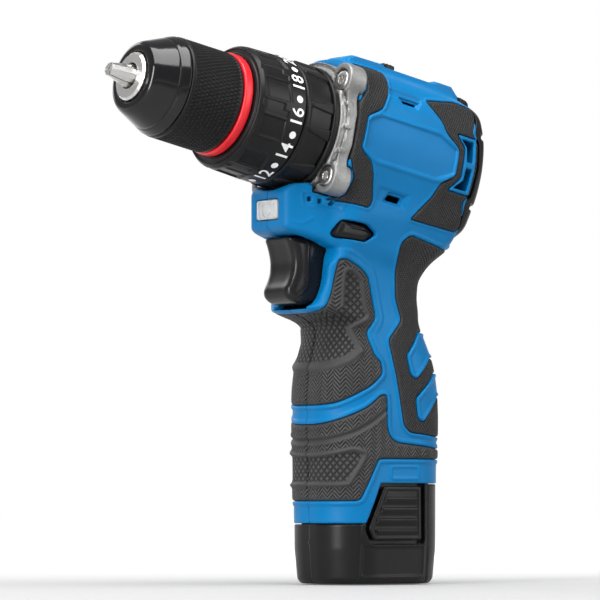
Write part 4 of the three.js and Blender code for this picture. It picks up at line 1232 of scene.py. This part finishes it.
def floor():
    mesh = bpy.data.meshes.new("floor")
    corners = [(math.cos(a) * 9, math.sin(a) * 9, -0.0004) for a in np.arange(64) * math.pi / 32]
    mesh.from_pydata(corners, [], [list(range(64))])
    piece = bpy.data.objects.new("floor", mesh)
    bpy.context.scene.collection.objects.link(piece)
    shader = Shader("floor_glow", (0.36, 0.36, 0.36), 0.7)
    axes = shader.node("ShaderNodeSeparateXYZ", {0: shader.place}).outputs
    parts = [shader.math("MULTIPLY", axes[n], AWAY[n]) for n in (0, 1)]
    behind = shader.math("ADD", *parts)
    # painted light: the floor glows faintly at the tool and brighter further behind it, fading into the white
    # sky
    shader.put("Emission Color", (1, 1, 1, 1))
    shader.put("Emission Strength", shader.ramp(behind, 0.0, 0.8, 0.10, 0.85))
    mesh.materials.append(shader.material)


def sky():
    world = bpy.data.worlds.new("studio")
    bpy.context.scene.world = world
    world.use_nodes = True
    tree = world.node_tree
    background = tree.nodes["Background"]
    place = tree.nodes.new("ShaderNodeTexCoord")
    toward = tree.nodes.new("ShaderNodeVectorMath")
    toward.operation = "DOT_PRODUCT"
    toward.inputs[1].default_value = AWAY
    tree.links.new(place.outputs["Generated"], toward.inputs[0])
    ramp = tree.nodes.new("ShaderNodeValToRGB")
    tree.links.new(toward.outputs["Value"], ramp.inputs[0])
    ramp.color_ramp.elements[0].position = 0.86
    ramp.color_ramp.elements[0].color = (0.28, 0.28, 0.29, 1)
    ramp.color_ramp.elements[1].position = 0.97
    ramp.color_ramp.elements[1].color = (1, 1, 1, 1)
    axes = tree.nodes.new("ShaderNodeSeparateXYZ")
    tree.links.new(place.outputs["Generated"], axes.inputs[0])
    haze = tree.nodes.new("ShaderNodeMapRange")
    haze.interpolation_type = "SMOOTHSTEP"
    haze.inputs[1].default_value, haze.inputs[2].default_value = 0.0, 0.16
    haze.inputs[3].default_value, haze.inputs[4].default_value = 0.62, 0.0
    tree.links.new(axes.outputs[2], haze.inputs[0])
    mixed = tree.nodes.new("ShaderNodeMix")
    mixed.data_type = "RGBA"
    mixed.inputs[7].default_value = (1, 1, 1, 1)
    tree.links.new(haze.outputs[0], mixed.inputs[0])
    tree.links.new(ramp.outputs[0], mixed.inputs[6])
    tree.links.new(mixed.outputs[2], background.inputs[0])
    background.inputs[1].default_value = 1.0


def camera():
    data = bpy.data.cameras.new("camera")
    data.lens, data.sensor_width = 240, 36
    data.clip_start, data.clip_end = 0.05, 30
    piece = bpy.data.objects.new("camera", data)
    piece.location = (0.91280, 1.19317, 0.02801)
    piece.rotation_euler = Vector(AWAY).to_track_quat("-Z", "Y").to_euler()
    bpy.context.scene.collection.objects.link(piece)
    bpy.context.scene.camera = piece


def dress_cad_nodes():
    for node in frame["nodes"].values():
        for place in node.material_slots:
            name = place.material.name.split(".")[0] if place.material else ""
            if name in LOOKS:
                place.material = LOOKS[name]


def corners(box):
    return [[round(value, 6) for value in corner] for corner in box]


dress_cad_nodes()
housing()
pads()
rear_cap()
flange()
for index, (y_side, v_side) in enumerate([(1, 1), (-1, 1), (-1, -1), (1, -1)]):
    screw(index + 1, y_side * FLANGE["y"], v_side * FLANGE["v"])
trigger()
selector()
slider()
lamp()
battery()
latches()
chuck_and_rings()
dial()

bpy.context.scene.view_settings.view_transform = "Standard"
floor()
sky()
area_light("top_softbox", (0.25, 0.35, 1.5), (0.03, 0, 0.12), 1.3, 36)
area_light("nose_strip", (1.5, 0.45, 0.5), (0.05, 0, 0.12), 0.4, 26, 1.4)
area_light("rear_strip", (-1.0, 1.3, 0.6), (0.0, 0, 0.12), 0.4, 10, 1.4)
area_light("far_side", (0.1, -1.5, 0.8), (0.0, 0, 0.12), 0.9, 7)
camera()
